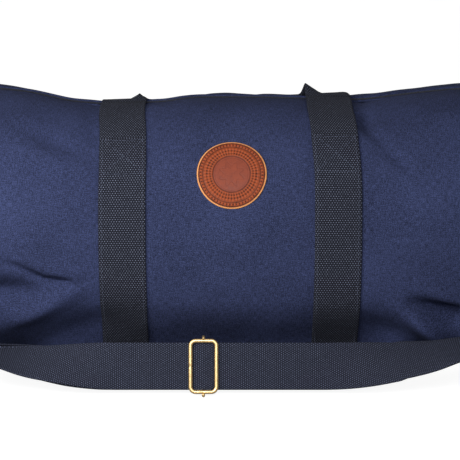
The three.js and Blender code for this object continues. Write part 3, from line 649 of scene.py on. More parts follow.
def webbing(name, points, wides, look, body, node, width=WEBBING_WIDTH, thickness=WEBBING,
            faces_out=None, across=14, curl=None, roll=None):
    """Webbing along points, its width along wides: curl lifts it and roll shifts it sideways."""
    points, wides = np.asarray(points, float), unit(np.asarray(wides, float))
    along = unit(np.gradient(points, axis=0))
    normals = unit(np.cross(along, wides))
    if faces_out is not None:
        normals = normals * np.sign(np.sum(normals * faces_out, axis=-1, keepdims=True))
    profile = np.array(webbing_profile(width, thickness, across))
    a, b = profile[:, 0], profile[:, 1]
    rise = np.broadcast_to(b[None, :], (len(points), len(b)))
    reach = np.broadcast_to(a[None, :], rise.shape)
    rows = np.arange(len(points))[:, None]
    if curl is not None:
        rise = rise + curl(rows, a[None, :])
    if roll is not None:
        reach = reach + roll(rows, a[None, :])
    verts = points[:, None] + wides[:, None] * reach[..., None] + normals[:, None] * rise[..., None]
    rows, columns = verts.shape[:2]
    length = lengths_along(points)
    uvs = joined((a + width / 2)[None, :], length[:, None]) * MM
    faces = capped_faces(rows, columns)
    return mesh_object(name, verts, faces, uvs, look, body, node, angle=50)


def tube(name, points, radius, look, body, node=(), sides=12, closed=False):
    """A round wire or cord along points."""
    points = np.asarray(points, float)
    if closed:
        along = unit(np.roll(points, -1, axis=0) - np.roll(points, 1, axis=0))
    else:
        along = unit(np.gradient(points, axis=0))
    frames = []
    side = unit(np.cross(along[0], [0.3, 0.5, 0.81]))
    for direction in along:
        side = unit(side - direction * np.dot(side, direction))
        frames.append((side, np.cross(direction, side)))
    slip = 0.0
    if closed:
        turned = frames[-1][0] - along[0] * np.dot(frames[-1][0], along[0])
        slip = math.atan2(np.dot(turned, frames[0][1]), np.dot(turned, frames[0][0]))
    radii = np.broadcast_to(radius, len(points))
    verts = []
    for i, (point, size, (s, t)) in enumerate(zip(points, radii, frames)):
        turns = np.linspace(0, TAU, sides, endpoint=False) - slip * (i / len(points))
        verts.append(point + size * (np.outer(np.cos(turns), s) + np.outer(np.sin(turns), t)))
    verts = np.array(verts + verts[:1] if closed else verts)
    faces = grid_faces(len(verts), sides, wrap=True) if closed else capped_faces(len(verts), sides)
    length = lengths_along(verts.mean(axis=1))
    around = np.arange(sides) / sides * TAU * np.mean(radii)
    uvs = joined(around[None, :], length[:, None]) * MM
    made = mesh_object(name, verts, faces, uvs, look, body, node)
    if closed:
        weld(made)


def weld(made, gap=1e-6):
    mesh = bmesh.new()
    mesh.from_mesh(made.data)
    bmesh.ops.remove_doubles(mesh, verts=mesh.verts, dist=gap)
    mesh.to_mesh(made.data)
    mesh.free()


def stitches(name, runs, look, body, pitch=4.0, stitch=2.9, radius=0.33):
    """Rows of thread stitches. Each run is (points, outward normals) along a seam."""
    sides, rings = 6, np.array([-0.5, -0.36, 0.0, 0.36, 0.5])
    sizes = np.array([0.35, 0.9, 1.0, 0.9, 0.35])
    turns = np.linspace(0, TAU, sides, endpoint=False)
    verts, faces = [], []
    for points, normals in runs:
        points, normals = np.asarray(points, float), np.asarray(normals, float)
        length = lengths_along(points)
        along = unit(np.gradient(points, axis=0))
        for middle in np.arange(pitch / 2, length[-1], pitch):
            p, d, n = (np.array([np.interp(middle, length, field[:, k]) for k in range(3)])
                       for field in (points, along, normals))
            d = unit(d)
            n = unit(n - d * np.dot(n, d))
            s = np.cross(d, n)
            faces += capped_faces(len(rings), sides, len(verts))
            for place, size in zip(rings, sizes):
                sink = -0.9 * radius * abs(2 * place) ** 2
                ring = p + d * place * stitch + n * (radius * 0.35 + sink)
                for turn in turns:
                    verts.append(ring + radius * size * (s * math.cos(turn) + n * math.sin(turn)))
    mesh_object(name, verts, faces, None, look, body)


def smooth_copy(node, name, body, levels=1):
    """A rounded brass version of a CAD casting or wire."""
    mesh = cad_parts[node].data.copy()
    mesh.materials.clear()
    mesh.materials.append(BRASS_LOOK[0])
    made = linked(name, mesh)
    weld(made, 1e-5)
    mesh.polygons.foreach_set("use_smooth", [True] * len(mesh.polygons))
    soften = made.modifiers.new("bevel", "BEVEL")
    soften.width, soften.segments, soften.limit_method = 0.0005, 2, "ANGLE"
    soften.angle_limit = math.radians(50)
    soft = made.modifiers.new("soft", "SUBSURF")
    soft.levels = soft.render_levels = levels
    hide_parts(node)
    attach(made, body)


# ---- Canvas ----


def shell(side, name, node):
    xs = np.linspace(-HALF_LENGTH, HALF_LENGTH, 241)
    ts = place_at(np.concatenate([np.linspace(0, 12, 17), np.linspace(14, DISTANCES[-1], 158)]))
    x, t = np.meshgrid(xs, ts, indexing="ij")
    outer, inner = skin(side, x, t, 0, fine=True), skin(side, x, t, -CANVAS, fine=True)
    uv = joined(x, distance_at(t)) * MM
    slab(name, outer, inner, uv, CANVAS_LOOK, "bag", node)


def base_sheet():
    x, across = np.meshgrid(np.linspace(-HALF_LENGTH, HALF_LENGTH, 90), np.linspace(-1, 1, 30),
                            indexing="ij")
    y = across * (base_half_width(x) - GAP)
    waves = np.abs(ripples(x, y, 3, 6, (50, 120), 0.25))
    high, low = joined(x, y, waves + CANVAS), joined(x, y, waves)
    slab("base_canvas", high, low, joined(x, y) * MM, CANVAS_LOOK, "bag", ["base_panel"])


shell(-1, "front_canvas", ["front_panel"])
shell(1, "back_canvas", ["back_panel"])
base_sheet()

END_INSET = 4.4


def end_sheet(side, name, node):
    u, v = np.meshgrid(np.linspace(0.0, 1, 90), np.linspace(-1, 1, 70), indexing="ij")
    y, z = section(np.full_like(u, HALF_LENGTH), u)
    ny, nz = section_normal(np.full_like(u, HALF_LENGTH), u)
    edge_y, edge_z = np.maximum(y - END_INSET * ny, 2), z - END_INSET * nz
    dome = END_DOME * (1 - v * v) * np.sin(u * math.pi)
    waves = ripples(v * 140, edge_z, 13 + int(side), 7, (50, 130), 1.0) * (1 - v**4)
    waves *= np.sin(np.clip(u, 0, 1) * math.pi) ** 0.5
    x = END_X + dome + waves
    sheets = [joined(side * (x + w), v * edge_y, edge_z) for w in (CANVAS, 0)]
    slab(name, *sheets, joined(v * edge_y, edge_z) * MM, CANVAS_LOOK, "bag", [node])


def piping(side, name, node):
    """The welt round an end: down the front, under the base, up the back and over the zip."""
    x = side * (HALF_LENGTH + GAP + PIPING_RADIUS)
    t = place_at(np.linspace(9, DISTANCES[-1], 120))
    y, z = section(np.full_like(t, HALF_LENGTH), t)
    ny, nz = section_normal(np.full_like(t, HALF_LENGTH), t)
    y, z = y - PIPING_RADIUS * ny, np.maximum(z - PIPING_RADIUS * nz, PIPING_RADIUS)
    half = float(base_half_width(HALF_LENGTH))
    under, over = np.linspace(-half, half, 30)[1:-1], np.linspace(y[0], -y[0], 8)[1:-1]
    all_y = np.concatenate([-y, under, y[::-1], over])
    heights = np.full_like(under, PIPING_RADIUS), np.full_like(over, z[0])
    all_z = np.concatenate([z, heights[0], z[::-1], heights[1]])
    line = joined(x, all_y, all_z)
    tube(name, line, PIPING_RADIUS, BINDING_LOOK, "bag", [node], closed=True)


for side, word in ((-1, "left"), (1, "right")):
    end_sheet(side, f"{word}_end_canvas", f"{word}_end_panel")
    piping(side, f"{word}_end_welt", f"{word}_end_piping")


def hem(side, name):
    """The folded edge of the canvas beside the zip."""
    x = np.linspace(-HALF_LENGTH + 1, HALF_LENGTH - 1, 240)
    wobble = 0.25 * np.sin(x / 9) + 0.2 * np.sin(x / 5.3)
    height = zip_line(x) - 1.0 + wobble * 0.4 - (ZIP_DROP if side < 0 else 0)
    tube(name, joined(x, side * (HEM_Y + 0.4), height), 1.5, BINDING_LOOK, "bag", sides=10)


hem(-1, "front_hem")
hem(1, "back_hem")


def seam_row(side, distance):
    x = np.linspace(-HALF_LENGTH + 6, HALF_LENGTH - 6, 240)
    t = np.full_like(x, float(place_at(distance)))
    line = skin(side, x, t, 0.1, fine=True)
    return line, unit(skin(side, x, t, 3, fine=True) - line)


stitches("hem_stitches", [seam_row(-1, 5.4), seam_row(1, 5.4)], NAVY_THREAD_LOOK, "bag",
         pitch=3.4, stitch=2.5, radius=0.28)

# ---- Zip ----


def zip_tape(side, name, node):
    across = np.linspace(0, 1, 5)
    x, w = np.meshgrid(np.linspace(-ZIP_HALF_LENGTH, ZIP_HALF_LENGTH, 160), across, indexing="ij")
    from_middle = mix(1.2, 12.5, w)
    z = zip_line(x)
    high, low = (joined(x, side * from_middle, z - sunk) for sunk in (3.1, 3.9))
    slab(name, high, low, joined(x, from_middle) * MM, TAPE_LOOK, "bag", [node])


def zip_teeth(side, name, node):
    """Coil teeth: one small loop of wire for each turn of the coil."""
    path = [(-0.4, 2.6, -0.5), (-0.2, 1.4, 0.5), (0, 0.2, 0.65), (0.2, -0.6, 0.1)]
    pitch, wire, half = 1.6, 0.42, 268
    turns = np.linspace(0, TAU, 6, endpoint=False)
    verts, faces = [], []
    for x in np.arange(-half, half, pitch) + (pitch / 2 if side > 0 else 0):
        z = float(zip_line(x)) - 1.6
        faces += capped_faces(len(path), len(turns), len(verts))
        for dx, dy, dz in path:
            for turn in turns:
                verts.append((x + dx + wire * math.cos(turn), side * dy,
                              z + dz + wire * math.sin(turn)))
    mesh_object(name, verts, faces, None, TEETH_LOOK, "bag", [node])


for side, word in ((-1, "front"), (1, "back")):
    zip_tape(side, f"zip_tape_{word}_cloth", f"zip_tape_{word}")
    zip_teeth(side, f"zip_teeth_{word}", f"zip_coil_{word}")

# ---- Sewn straps ----

FLAT_LIFT = 1.6
STITCH_LIFT = 2.75
STITCH_OFFSET = 21.6
BOX = (4, 46)


def sewn_strap(side, middle, name, node):
    t = mix(SEWN_TOP, SEWN_BOTTOM, np.linspace(0, 1, 110))
    x = strap_line(side, middle, t)
    line = skin(side, x, t, FLAT_LIFT)
    wide = skin(side, x + 20, t, FLAT_LIFT) - skin(side, x - 20, t, FLAT_LIFT)
    out = skin(side, x, t, 4) - line
    webbing(name, line, wide, WEBBING_LOOK, "bag", [node], faces_out=out)


def strap_stitches(side, middle, name):
    """A row along each edge, and the crossed box at the top of the strap."""
    t = mix(SEWN_TOP + 0.002, SEWN_BOTTOM, np.linspace(0, 1, 120))
    rows = [(strap_line(side, middle, t) + way * STITCH_OFFSET, t) for way in (-1, 1)]
    x = np.linspace(middle - STITCH_OFFSET, middle + STITCH_OFFSET, 40)
    low, high = BOX
    for start, end in ((low, low), (high, high), (low, high), (high, low)):
        rows.append((x, place_at(np.linspace(ATTACH + start, ATTACH + end, 40))))
    lines = [skin(side, *row, STITCH_LIFT) for row in rows]
    runs = [(line, skin(side, *row, STITCH_LIFT + 2) - line) for line, row in zip(lines, rows)]
    stitches(name, runs, STRAP_THREAD_LOOK, "bag")


for side, word in ((-1, "front"), (1, "back")):
    for middle, hand in zip(STRAP_X, ("left", "right")):
        sewn_strap(side, middle, f"{word}_webbing_{hand}", f"{word}_strap_{hand}")
        strap_stitches(side, middle, f"{word}_webbing_{hand}_stitches")

# ---- Carrying handles ----

FRONT_HANDLE = {"reach": 300, "loop": 32, "gather": (116, 232), "roll": (205, 268)}
BACK_HANDLE = {"reach": 250, "loop": 48, "gather": (118, 202), "roll": (125, 202)}
HANDLE_ROLL = 80
LEG_SHARE = 0.86
FOLD_RISE = 10
FOLD_RADIUS = 3.2
FOLDED_LIFT = FLAT_LIFT + 2 * FOLD_RADIUS


def share_between(value, limits):
    return min(max((value - limits[0]) / (limits[1] - limits[0]), 0), 1)


def handle_line(surface, form, lift_at, drift=0.0):
    """Points, widths, outward directions and places of a carrying handle: two legs and a loop."""
    straight = form["reach"] - form["loop"]

    def place(u):
        side = -1 if u < 0.5 else 1
        half = min(u, 1 - u) / 0.5
        leg = min(half / LEG_SHARE, 1)
        bend = share_between(half, (LEG_SHARE, 1)) * math.pi / 2
        start_x = abs(STRAP_X[0] if side < 0 else STRAP_X[1])
        distance = straight * leg + form["loop"] * math.sin(bend)
        gathered = ease(share_between(distance, form["gather"]))
        x = side * mix(start_x, form["loop"], gathered) * math.cos(bend)
        return x - drift * (1 + 2 * ease(distance / 60)) / 3 * (1 - gathered), distance

    rows = []
    for u in np.linspace(0, 1, 150):
        x, distance = place(u)
        roll = math.radians(HANDLE_ROLL * ease(share_between(distance, form["roll"])))
        lift = lift_at(distance, x) + WEBBING_WIDTH / 2 * math.sin(roll)
        lengthways = surface(x + 6, distance, 0) - surface(x - 6, distance, 0)
        downwards = surface(x, distance + 3, 0) - surface(x, distance - 3, 0)
        out = unit(np.cross(lengthways, downwards))
        above = surface(x, distance, 3) - surface(x, distance, 0)
        out = out * math.copysign(1, float(np.dot(out, above)))
        before = surface(*place(max(u - 0.006, 0)), 0)
        heading = surface(*place(min(u + 0.006, 1)), 0) - before
        inward = unit(np.cross(heading, out))
        wide = inward * math.cos(roll) + out * math.sin(roll)
        rows.append((surface(x, distance, lift), wide, out, (x, distance)))
    return [np.array(column) for column in zip(*rows)]


def front_lift(distance, x):
    arch = math.sin(share_between(distance, (45, 165)) * math.pi)
    over = 1.5 if x < 0 else 2.2
    return FLAT_LIFT + over * ease(arch)


*front_form, front_outs, front_places = handle_line(over_the_top, FRONT_HANDLE, front_lift,
                                                    HANDLE_DRIFT)


def handle_curl(row, a):
    """Where the handle tips over the zip its inner edge turns up, more on the right hand side."""
    x, distance = front_places[row, 0], front_places[row, 1]
    onward = np.sin(np.clip((distance - 100) / 46, 0, 1) * math.pi) ** 2
    left = 8 * np.clip(1 - np.abs(a - 16) / 9, 0, 1)
    right = 12 * np.clip(1 - np.abs(a - 24) / 18, 0, 1)
    return onward * np.where(x < 0, left, right)


front_handle = webbing("front_handle_webbing", *front_form, WEBBING_LOOK, None, ["front_handle"],
                       faces_out=front_outs, across=32, curl=handle_curl)


def settle(distance, x):
    settled = FLAT_LIFT + WEBBING + 0.6
    return mix(FOLDED_LIFT, settled, ease(distance / 45))


*back_form, back_outs, _ = handle_line(down_the_back, BACK_HANDLE, settle)
webbing("back_handle_webbing", *back_form, WEBBING_LOOK, "back_handle", ["back_handle"],
        faces_out=back_outs)


def handle_fold(middle, name, node):
    """Up from the end of the sewn strap, round, and down again as the hanging handle."""
    corners = [(0.0, FLAT_LIFT), (FOLD_RISE * 0.5, FLAT_LIFT), (FOLD_RISE, FLAT_LIFT)]
    for turn in np.linspace(0, math.pi, 14)[1:]:
        rise = FOLD_RISE + FOLD_RADIUS * math.sin(turn)
        corners.append((rise, FLAT_LIFT + FOLD_RADIUS * (1 - math.cos(turn))))
    corners += [(FOLD_RISE * 0.5, FOLDED_LIFT), (0.0, FOLDED_LIFT)]
    line = [down_the_back(middle, -rise, lift) for rise, lift in corners]
    wide = [down_the_back(middle + 20, -r, b) - down_the_back(middle - 20, -r, b)
            for r, b in corners]
    return webbing(name, line, wide, WEBBING_LOOK, None, [node])


folds = [handle_fold(STRAP_X[0], "back_fold_left", "back_handle_fold_left"),
         handle_fold(STRAP_X[1], "back_fold_right", "back_handle_fold_right")]

hinge = over_the_top(0, 0, 0)
ahead = over_the_top(0, 26, 0)
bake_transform(front_handle)
inner_edge, outer_edge = down_the_back(0, 0, 2.0), down_the_back(0, 0, 7.4)
for fold in folds:
    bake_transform(fold)

# ---- Leather patch ----

PATCH_X = 1.8
PATCH_MIDDLE = float(distance_at(PATCH_PLACE))
PATCH_LIFT = 2.3
BEADS = 60
LATTICE = 26
PETALS = 8
BAND_INNER_RADIUS = 19.6
# The cut edge of the patch, from its face down to the cloth: radius and height.
PATCH_EDGE = ((36.75, 1.75), (36.9, 1.3), (36.9, 0.7), (36.7, 0.35))


def patch_height(r, a):
    """The face of the patch: a rolled rim, a ring of beads, a tooled band and a plain rosette."""
    rim = -0.45 * bell(r, 34.6, 0.6)
    beads = 0.5 * bell(r, 32.6, 1.0) * np.cos(a * BEADS)
    line = -0.4 * bell(r, 30.6, 0.5) - 0.5 * bell(r, BAND_INNER_RADIUS, 0.6)
    band = bell(r, 25.2, 4.2, 6)
    lattice = 0.5 * band * np.sin(a * LATTICE + r * 0.9) * np.sin(a * LATTICE - r * 0.9)
    inner = -0.15 * bell(r, 17.6, 0.4)
    rosette = -0.14 * bell(r * (1 + 0.22 * np.cos(a * PETALS)), 10.5, 0.9)
    dish = -0.12 * ease((BAND_INNER_RADIUS - r) / 2.0)
    return rim + beads + line + lattice + inner + rosette + dish


def patch():
    radii = np.concatenate([np.linspace(0.4, 34, 84), np.linspace(34.3, 36.4, 8)])
    angles = np.linspace(0, TAU, 420, endpoint=False)
    r, a = np.meshgrid(radii, angles, indexing="ij")
    tooling = patch_height(r, a)
    height = PATCH_LIFT + tooling - 0.5 * ease((r - 35.2) / 1.2)

    def laid(r, a, h):
        x, s = PATCH_X + r * np.cos(a), PATCH_MIDDLE + r * np.sin(a)
        return skin(-1, x, place_at(s), h)

    around = np.ones((1, len(angles)))
    edges = [laid(radius * around, angles[None, :], h) for radius, h in PATCH_EDGE]
    verts = np.concatenate([laid(r, a, height), *edges])
    rows, columns = verts.shape[:2]
    # The leather paints shade into the tooling's hollows from its depth in U, and takes from V how
    # far out a point lies.
    uvs = np.ones((rows, columns, 2))
    uvs[..., 0] = 0.5
    uvs[:len(radii), :, 0] += tooling
    uvs[:len(radii), :, 1] = ease((r - 18.5) / 2.2)
    made = mesh_object("leather_badge", verts, capped_faces(rows, columns), uvs, LEATHER_LOOK,
                       "bag", ["leather_patch"])
    made.data.materials.append(CUT_EDGE)
    first_edge = (len(radii) - 4) * columns
    for index, polygon in enumerate(made.data.polygons):
        if first_edge <= index < (rows - 1) * columns:
            polygon.material_index = 1


patch()

# ---- Shoulder strap ----

HOOK_LEAN = math.degrees(HOOK_ANGLE) - 90
RUN = (-172, 31, 76)
LAYER_STEP = 2.6


def hook_drop(distance):
    return (-distance * math.cos(HOOK_ANGLE), RING_HEIGHT - distance * math.sin(HOOK_ANGLE))


# The strap's middle line: x, y, z and the lean of its width from +Y, in degrees.
STRAP_KNOTS = [
    (-RING_X, *hook_drop(EYE_BAR + 6), HOOK_LEAN),
    (-RING_X, *hook_drop(EYE_BAR + 18), HOOK_LEAN),
    (-295, -98, 159, -51),
    (-297, -123, 127, -44),
    (-298, -147, 91, -31),
    (-294, -161, 63, -15),
    (-281, -167, 46, 0),
    (-263, -166, 40.5, 4),
    (-242, -164, 37.4, 9),
    (-212, -166, 34.4, 25),
    (-178, -170, 33.2, 39),
    (-146, -171.6, 31.8, 58),
    *((x, *RUN) for x in (-122, -112, -60, 0, 60, 90, 100)),
    (134, -171.2, 32, 60),
    (175, -169, 35, 40),
    (212, -166, 39.5, 26),
    (242, -164, 46.8, 14),
    (264, -166, 51, 8),
    (282, -167, 57, 0),
    (294, -161, 73, -15),
    (298, -147, 97, -31),
    (297, -123, 129, -44),
    (295, -98, 159, -51),
    (RING_X, *hook_drop(EYE_BAR + 18), HOOK_LEAN),
    (RING_X, *hook_drop(EYE_BAR + 6), HOOK_LEAN),
]


def curve_point(knots, share, centripetal=True):
    """A Catmull-Rom curve through the knots, at a share of their number."""
    knots = np.asarray(knots, float)
    last = len(knots) - 1
    place = min(max(share, 0), 1) * last
    i = min(int(place), last - 1)
    w = place - i
    p1, p2 = knots[i], knots[i + 1]
    p0 = knots[i - 1] if i > 0 else 2 * p1 - p2
    p3 = knots[i + 2] if i + 2 <= last else 2 * p2 - p1
    if centripetal:
        steps = (p1 - p0, p2 - p1, p3 - p2)
        d0, d1, d2 = (max(np.sum(step**2) ** 0.25, 1e-4) for step in steps)
        t1 = ((p1 - p0) / d0 - (p2 - p0) / (d0 + d1) + (p2 - p1) / d1) * d1
        t2 = ((p2 - p1) / d1 - (p3 - p1) / (d1 + d2) + (p3 - p2) / d2) * d1
    else:
        t1, t2 = (p2 - p0) / 2, (p3 - p1) / 2
    c2, c3 = -3 * p1 + 3 * p2 - 2 * t1 - t2, 2 * p1 - 2 * p2 + t1 + t2
    return p1 + t1 * w + c2 * w * w + c3 * w**3


LINE_KNOTS = [knot[:3] for knot in STRAP_KNOTS]
LEAN_KNOTS = [(knot[0], knot[3]) for knot in STRAP_KNOTS]


def strap_frame(share):
    point = curve_point(LINE_KNOTS, share)
    along = unit(curve_point(LINE_KNOTS, share + 1e-4) - curve_point(LINE_KNOTS, share - 1e-4))
    lean = math.radians(curve_point(LEAN_KNOTS, share, centripetal=False)[1])
    wide = np.array([0, math.cos(lean), math.sin(lean)])
    wide = unit(wide - along * np.dot(wide, along))
    return point, along, wide, unit(np.cross(along, wide))


def share_at_x(x):
    low, high = 0.0, 1.0
    for _ in range(40):
        middle = (low + high) / 2
        if curve_point(LINE_KNOTS, middle)[0] < x:
            low = middle
        else:
            high = middle
    return low


# Shares of the strap's length from a hook: where the runs close up, and where the inner one slips.
OUTER_CLOSES = 0.09
LAYERS_CLOSE = (0.42, 0.26)
SLIP_FROM, SLIP_OVER = 0.12, 0.1
SLIP_END, SLIP_BACK_OVER = 0.345, 0.09
SLIP = (12, 4.2)
LAYERS_APART = 2 * (HOOK_WIRE + GAP + WEBBING / 2)


def layer(shares, outer):
    """Points, widths and faces of the outer or the inner run of the strap."""
    rows = []
    for share in shares:
        point, _, wide, face = strap_frame(share)
        from_hook = min(share, 1 - share)
        outward = mix(LAYERS_APART / 2, 0, ease(from_hook / OUTER_CLOSES))
        right = int(share > 0.5)
        closed = ease((from_hook - OUTER_CLOSES) / (LAYERS_CLOSE[right] - OUTER_CLOSES))
        offset = outward if outer else outward - mix(LAYERS_APART, LAYER_STEP, closed)
        slip = SLIP[right] * ease((from_hook - SLIP_FROM) / SLIP_OVER)
        if not right:
            slip *= ease((SLIP_END - from_hook) / SLIP_BACK_OVER)
        rows.append((point + face * offset + wide * (0 if outer else slip), wide, face))
    return [list(column) for column in zip(*rows)]


def eye_turn(share):
    point, along, wide, face = strap_frame(share)
    onward = along * (-1 if share < 0.5 else 1)
    radius = HOOK_WIRE + GAP + WEBBING / 2
    points = [point + onward * (6 + radius * math.sin(t)) + face * radius * math.cos(t)
              for t in np.linspace(0, math.pi, 16)]
    return points, [wide] * 16


# Where the end folded back at the right hook stops, and where the doubled run stops: x.
FOLD_BACK_STOP = 181
RETURN_STOP = -61


def settled_run(points, wides, outs):
    """The outer run steps up a little where the end folded back under it stops. Inside the adjuster
    it swells over the bar and dips beside the wires."""
    for point, wide, out in zip(points, wides, outs):
        past_stop = ease((point[0] - FOLD_BACK_STOP + 4) / 6)
        point += wide * 1.5 * past_stop * ease((290 - point[0]) / 40)
        x = point[0] - ADJUSTER_X
        swell = 1.1 * bell(x, 0, 7) - 1.3 * bell(abs(x), 11.8, 1.8)
        point += out * swell * bell(x, 0, 15, 6)
    return points


def return_lift(row):
    share = return_shares[row]
    return ease((share - SLIP_FROM) / SLIP_OVER) * ease((SLIP_END - share) / SLIP_BACK_OVER)


def return_curl(row, a):
    """Left of the adjuster the inner run's upper edge lifts off and shows above the outer run."""
    return return_lift(row) * (6 * np.clip((a - 13) / 6, 0, 1) + 2.5 * np.clip((a - 19) / 6, 0, 1))


def return_roll(row, a):
    return -10 * return_lift(row) * np.clip((a - 18.5) / 6.5, 0, 1) ** 1.4


ADJUSTER_X = -28
fold_back_end = math.ceil(share_at_x(FOLD_BACK_STOP) * 100) / 100
return_end = math.floor(share_at_x(RETURN_STOP) * 100) / 100
return_shares = np.linspace(0.001, return_end, 150)
near = [share_at_x(ADJUSTER_X + x) for x in np.arange(-20, 20.1, 0.8)]
main_points, main_wides, main_outs = layer(sorted([*np.linspace(0, 1, 320)[1:-1], *near]), True)
main_points = settled_run(main_points, main_wides, main_outs)
turn_left, wides_left = eye_turn(0.0)
turn_right, wides_right = eye_turn(1.0)
back_points, back_wides, _ = layer(np.linspace(1, fold_back_end, 90)[1:], False)
webbing("shoulder_webbing", turn_left[::-1] + main_points + turn_right + back_points,
        wides_left + main_wides + wides_right + back_wides, STRAP_LOOK, "shoulder_strap",
        ["shoulder_strap"])
return_points, return_wides, return_outs = layer(return_shares, False)
returning = webbing("shoulder_webbing_return", return_points, return_wides, STRAP_LOOK, None,
                    ["shoulder_strap_return"], faces_out=return_outs, across=40,
                    curl=return_curl, roll=return_roll)
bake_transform(returning)

# ---- Adjuster ----

WIRE = 2.15
BAR_WIRE = 1.6
BAR_DEPTH = -4.8
WIRE_DEPTH = WEBBING / 2 + GAP + WIRE
FRAME_HALF = (13.7, 27)
FRAME_CORNER = 5.5
run_point, _, run_wide, run_face = strap_frame(share_at_x(ADJUSTER_X))


def on_run(x, w, n):
    middle = np.array([ADJUSTER_X + x, run_point[1], run_point[2]])
    return middle + run_wide * w + run_face * n


def adjuster_frame():
    """A rounded rectangle of wire, butted where its ends meet at the left."""
    a, b = (half - FRAME_CORNER for half in FRAME_HALF)
    outline = []
    for cx, cw, start in ((a, b, 0), (-a, b, 90), (-a, -b, 180), (a, -b, 270)):
        outline += arc((cx, cw), FRAME_CORNER, np.radians(np.linspace(start, start + 90, 12)))
    dense = []
    for p, q in zip(outline, outline[1:] + outline[:1]):
        count = max(int(math.dist(p, q) / 1.5), 1)
        dense += [(mix(p[0], q[0], k / count), mix(p[1], q[1], k / count)) for k in range(count)]
    line = [on_run(x, w, WIRE_DEPTH) for x, w in dense]
    radii = np.array([WIRE * (1 + 0.006 * math.sin(i * 0.9) + 0.008 * math.sin(i * 0.31))
                      for i in range(len(line))])
    for i, (x, w) in enumerate(dense):
        if x < 0 and abs(w + 0.5) < 0.9:
            radii[i] *= 0.8
    tube("adjuster_wire", line, radii, BRASS_LOOK, "adjuster", ["adjuster_frame"], sides=20,
         closed=True)


def adjuster_bar():
    """The bar runs behind the webbing, and its ends curl round the frame."""
    clear = WIRE + GAP + BAR_WIRE
    curl = arc((FRAME_HALF[1], WIRE_DEPTH), clear, np.radians([-55, -20, 20, 60]))
    upper = [(0, BAR_DEPTH), (14, BAR_DEPTH), (25.6, BAR_DEPTH), (28.6, BAR_DEPTH + 2.2), *curl]
    lower = [(-w, n) for w, n in upper[1:]][::-1]
    knots = [on_run(0, w, n) for w, n in lower + upper]
    line = [curve_point(knots, s) for s in np.linspace(0, 1, 120)]
    tube("adjuster_middle_bar", line, BAR_WIRE, BRASS_LOOK, "adjuster", ["adjuster_bar"], sides=14)


def end_loop():
    """The end of the doubled run, sewn round the bar."""
    radius = BAR_WIRE + GAP + WEBBING / 2
    corners = [(x, BAR_DEPTH + radius) for x in (-31, -22, -12)]
    corners += arc((0, BAR_DEPTH), radius, np.linspace(math.pi / 2, -math.pi / 2, 14))
    corners += [(-10, BAR_DEPTH - radius), (-20, BAR_DEPTH - 1),
                (-31, BAR_DEPTH + radius - LAYER_STEP)]
    line = [on_run(x, 0, n) for x, n in corners]
    webbing("strap_end_loop", line, [run_wide] * len(line), STRAP_LOOK, "adjuster",
            ["shoulder_strap_end_loop"])


adjuster_frame()
adjuster_bar()
end_loop()

# ---- Ends: tabs, rings and hooks ----

for word in ("left", "right"):
    smooth_copy(f"{word}_ring", f"{word}_ring_wire", "shoulder_strap", 2)
    smooth_copy(f"{word}_hook_eye", f"{word}_eye_wire", "shoulder_strap", 2)
    smooth_copy(f"{word}_hook", f"{word}_snap_hook", f"{word}_hook")
    smooth_copy(f"{word}_hook_gate", f"{word}_snap_gate", f"{word}_gate")
smooth_copy("zip_slider", "zip_slider_body", "zip_slider")
smooth_copy("zip_pull", "zip_pull_tag", "zip_pull")


TAB_BACK = 285.3
TAB_THICKNESS = 1.8
RING_WIRE = 2.25
RING_CLEARANCE = 0.5


def ring_tab(side, name, node):
    """Sewn to the end cloth, up and over the ring's wire and down again."""
    top = RING_HEIGHT - RING_INNER_RADIUS + 4.8
    back, front = TAB_BACK, RING_X + RING_WIRE + RING_CLEARANCE + TAB_THICKNESS / 2
    arch_x, arch = (back + front) / 2, (front - back) / 2
    corners = [(back, 112), (back, 150), (back, 180), (back, top - arch)]
    for turn in np.linspace(0, math.pi, 18)[1:-1]:
        corners.append((arch_x - arch * math.cos(turn), top - arch + arch * math.sin(turn)))
    corners += [(front, top - arch), (front - 1.5, 194), (back + 3.2, 182), (back + 2.1, 170),
                (back + 2.1, 140), (back + 2.1, 112)]
    line = [(side * x, 0, z) for x, z in corners]
    webbing(name, line, [(0, 1, 0)] * len(line), TAB_LOOK, "bag", [node], width=18,
            thickness=TAB_THICKNESS)


for side, word in ((-1, "left"), (1, "right")):
    ring_tab(side, f"{word}_tab_webbing", f"{word}_ring_tab")
    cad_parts[f"zip_end_{word}"].data.materials.clear()
    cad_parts[f"zip_end_{word}"].data.materials.append(TAPE_LOOK[0])

# ---- Floor, light and camera ----


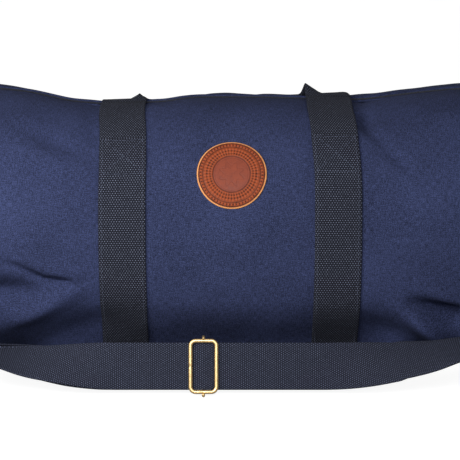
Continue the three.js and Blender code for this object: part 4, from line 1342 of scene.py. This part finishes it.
def floor():
    """A white sweep: bright where the camera sees it, but with little light thrown back up."""
    mesh = bpy.data.meshes.new("floor")
    half = 14
    corners = [(x * half, y * half, 0) for x, y in ((-1, -1), (1, -1), (1, 1), (-1, 1))]
    mesh.from_pydata(corners, [], [(0, 1, 2, 3)])
    n = Nodes("pale_floor", (0.3, 0.3, 0.3), 0.9, Specular_IOR_Level=0.0)
    seen = n.node("LightPath", 0)
    place = n.place()
    n.finish(n.colors(n.noise(place, 3.0), [(0.3, (0.29,) * 3), (0.7, (0.31,) * 3)]))
    n.shader.inputs["Emission Color"].default_value = (1, 1, 1, 1)
    n.put(n.shader.inputs["Emission Strength"], n.times(seen, 0.92))
    mesh.materials.append(n.material)
    made = linked("floor", mesh)


floor()


def studio_world(seen_strength, lit_strength):
    world = bpy.data.worlds.new("studio")
    bpy.context.scene.world = world
    world.use_nodes = True
    tree = world.node_tree
    background = tree.nodes["Background"]
    background.inputs[0].default_value = (1, 1, 1, 1)
    path = tree.nodes.new("ShaderNodeLightPath")
    strength = tree.nodes.new("ShaderNodeMapRange")
    strength.inputs[3].default_value, strength.inputs[4].default_value = lit_strength, seen_strength
    tree.links.new(path.outputs[0], strength.inputs[0])
    tree.links.new(strength.outputs[0], background.inputs[1])


studio_world(1.2, 0.3)


KEY_PLACE = Vector((-0.3, -0.85, 0.51))
KEY_TARGET = Vector((0, -0.1, 0.19))
key_data = bpy.data.lights.new("key", "AREA")
key_data.shape, key_data.size, key_data.size_y, key_data.energy = "RECTANGLE", 1.1, 0.3, 13.5
key = linked("key", key_data)
key.location = KEY_PLACE
key.rotation_euler = (KEY_TARGET - KEY_PLACE).to_track_quat("-Z", "Y").to_euler()
key.visible_camera = False

# The viewpoint: 12 degrees above the horizon, 2.1 m from a point at the front of the bag.
ELEVATION = math.radians(12)
DISTANCE = 2.1
AIM = Vector((0, -0.150, 0.1735))
camera_data = bpy.data.cameras.new("camera")
camera_data.sensor_width = 36
camera_data.lens = 156.2
camera = linked("camera", camera_data)
back = Vector((0, -math.cos(ELEVATION), math.sin(ELEVATION)))
camera.location = AIM + back * DISTANCE
camera.rotation_euler = (-back).to_track_quat("-Z", "Y").to_euler()
camera_data.clip_start, camera_data.clip_end = 0.05, 60
bpy.context.scene.camera = camera
bpy.context.scene.view_settings.view_transform = "Standard"
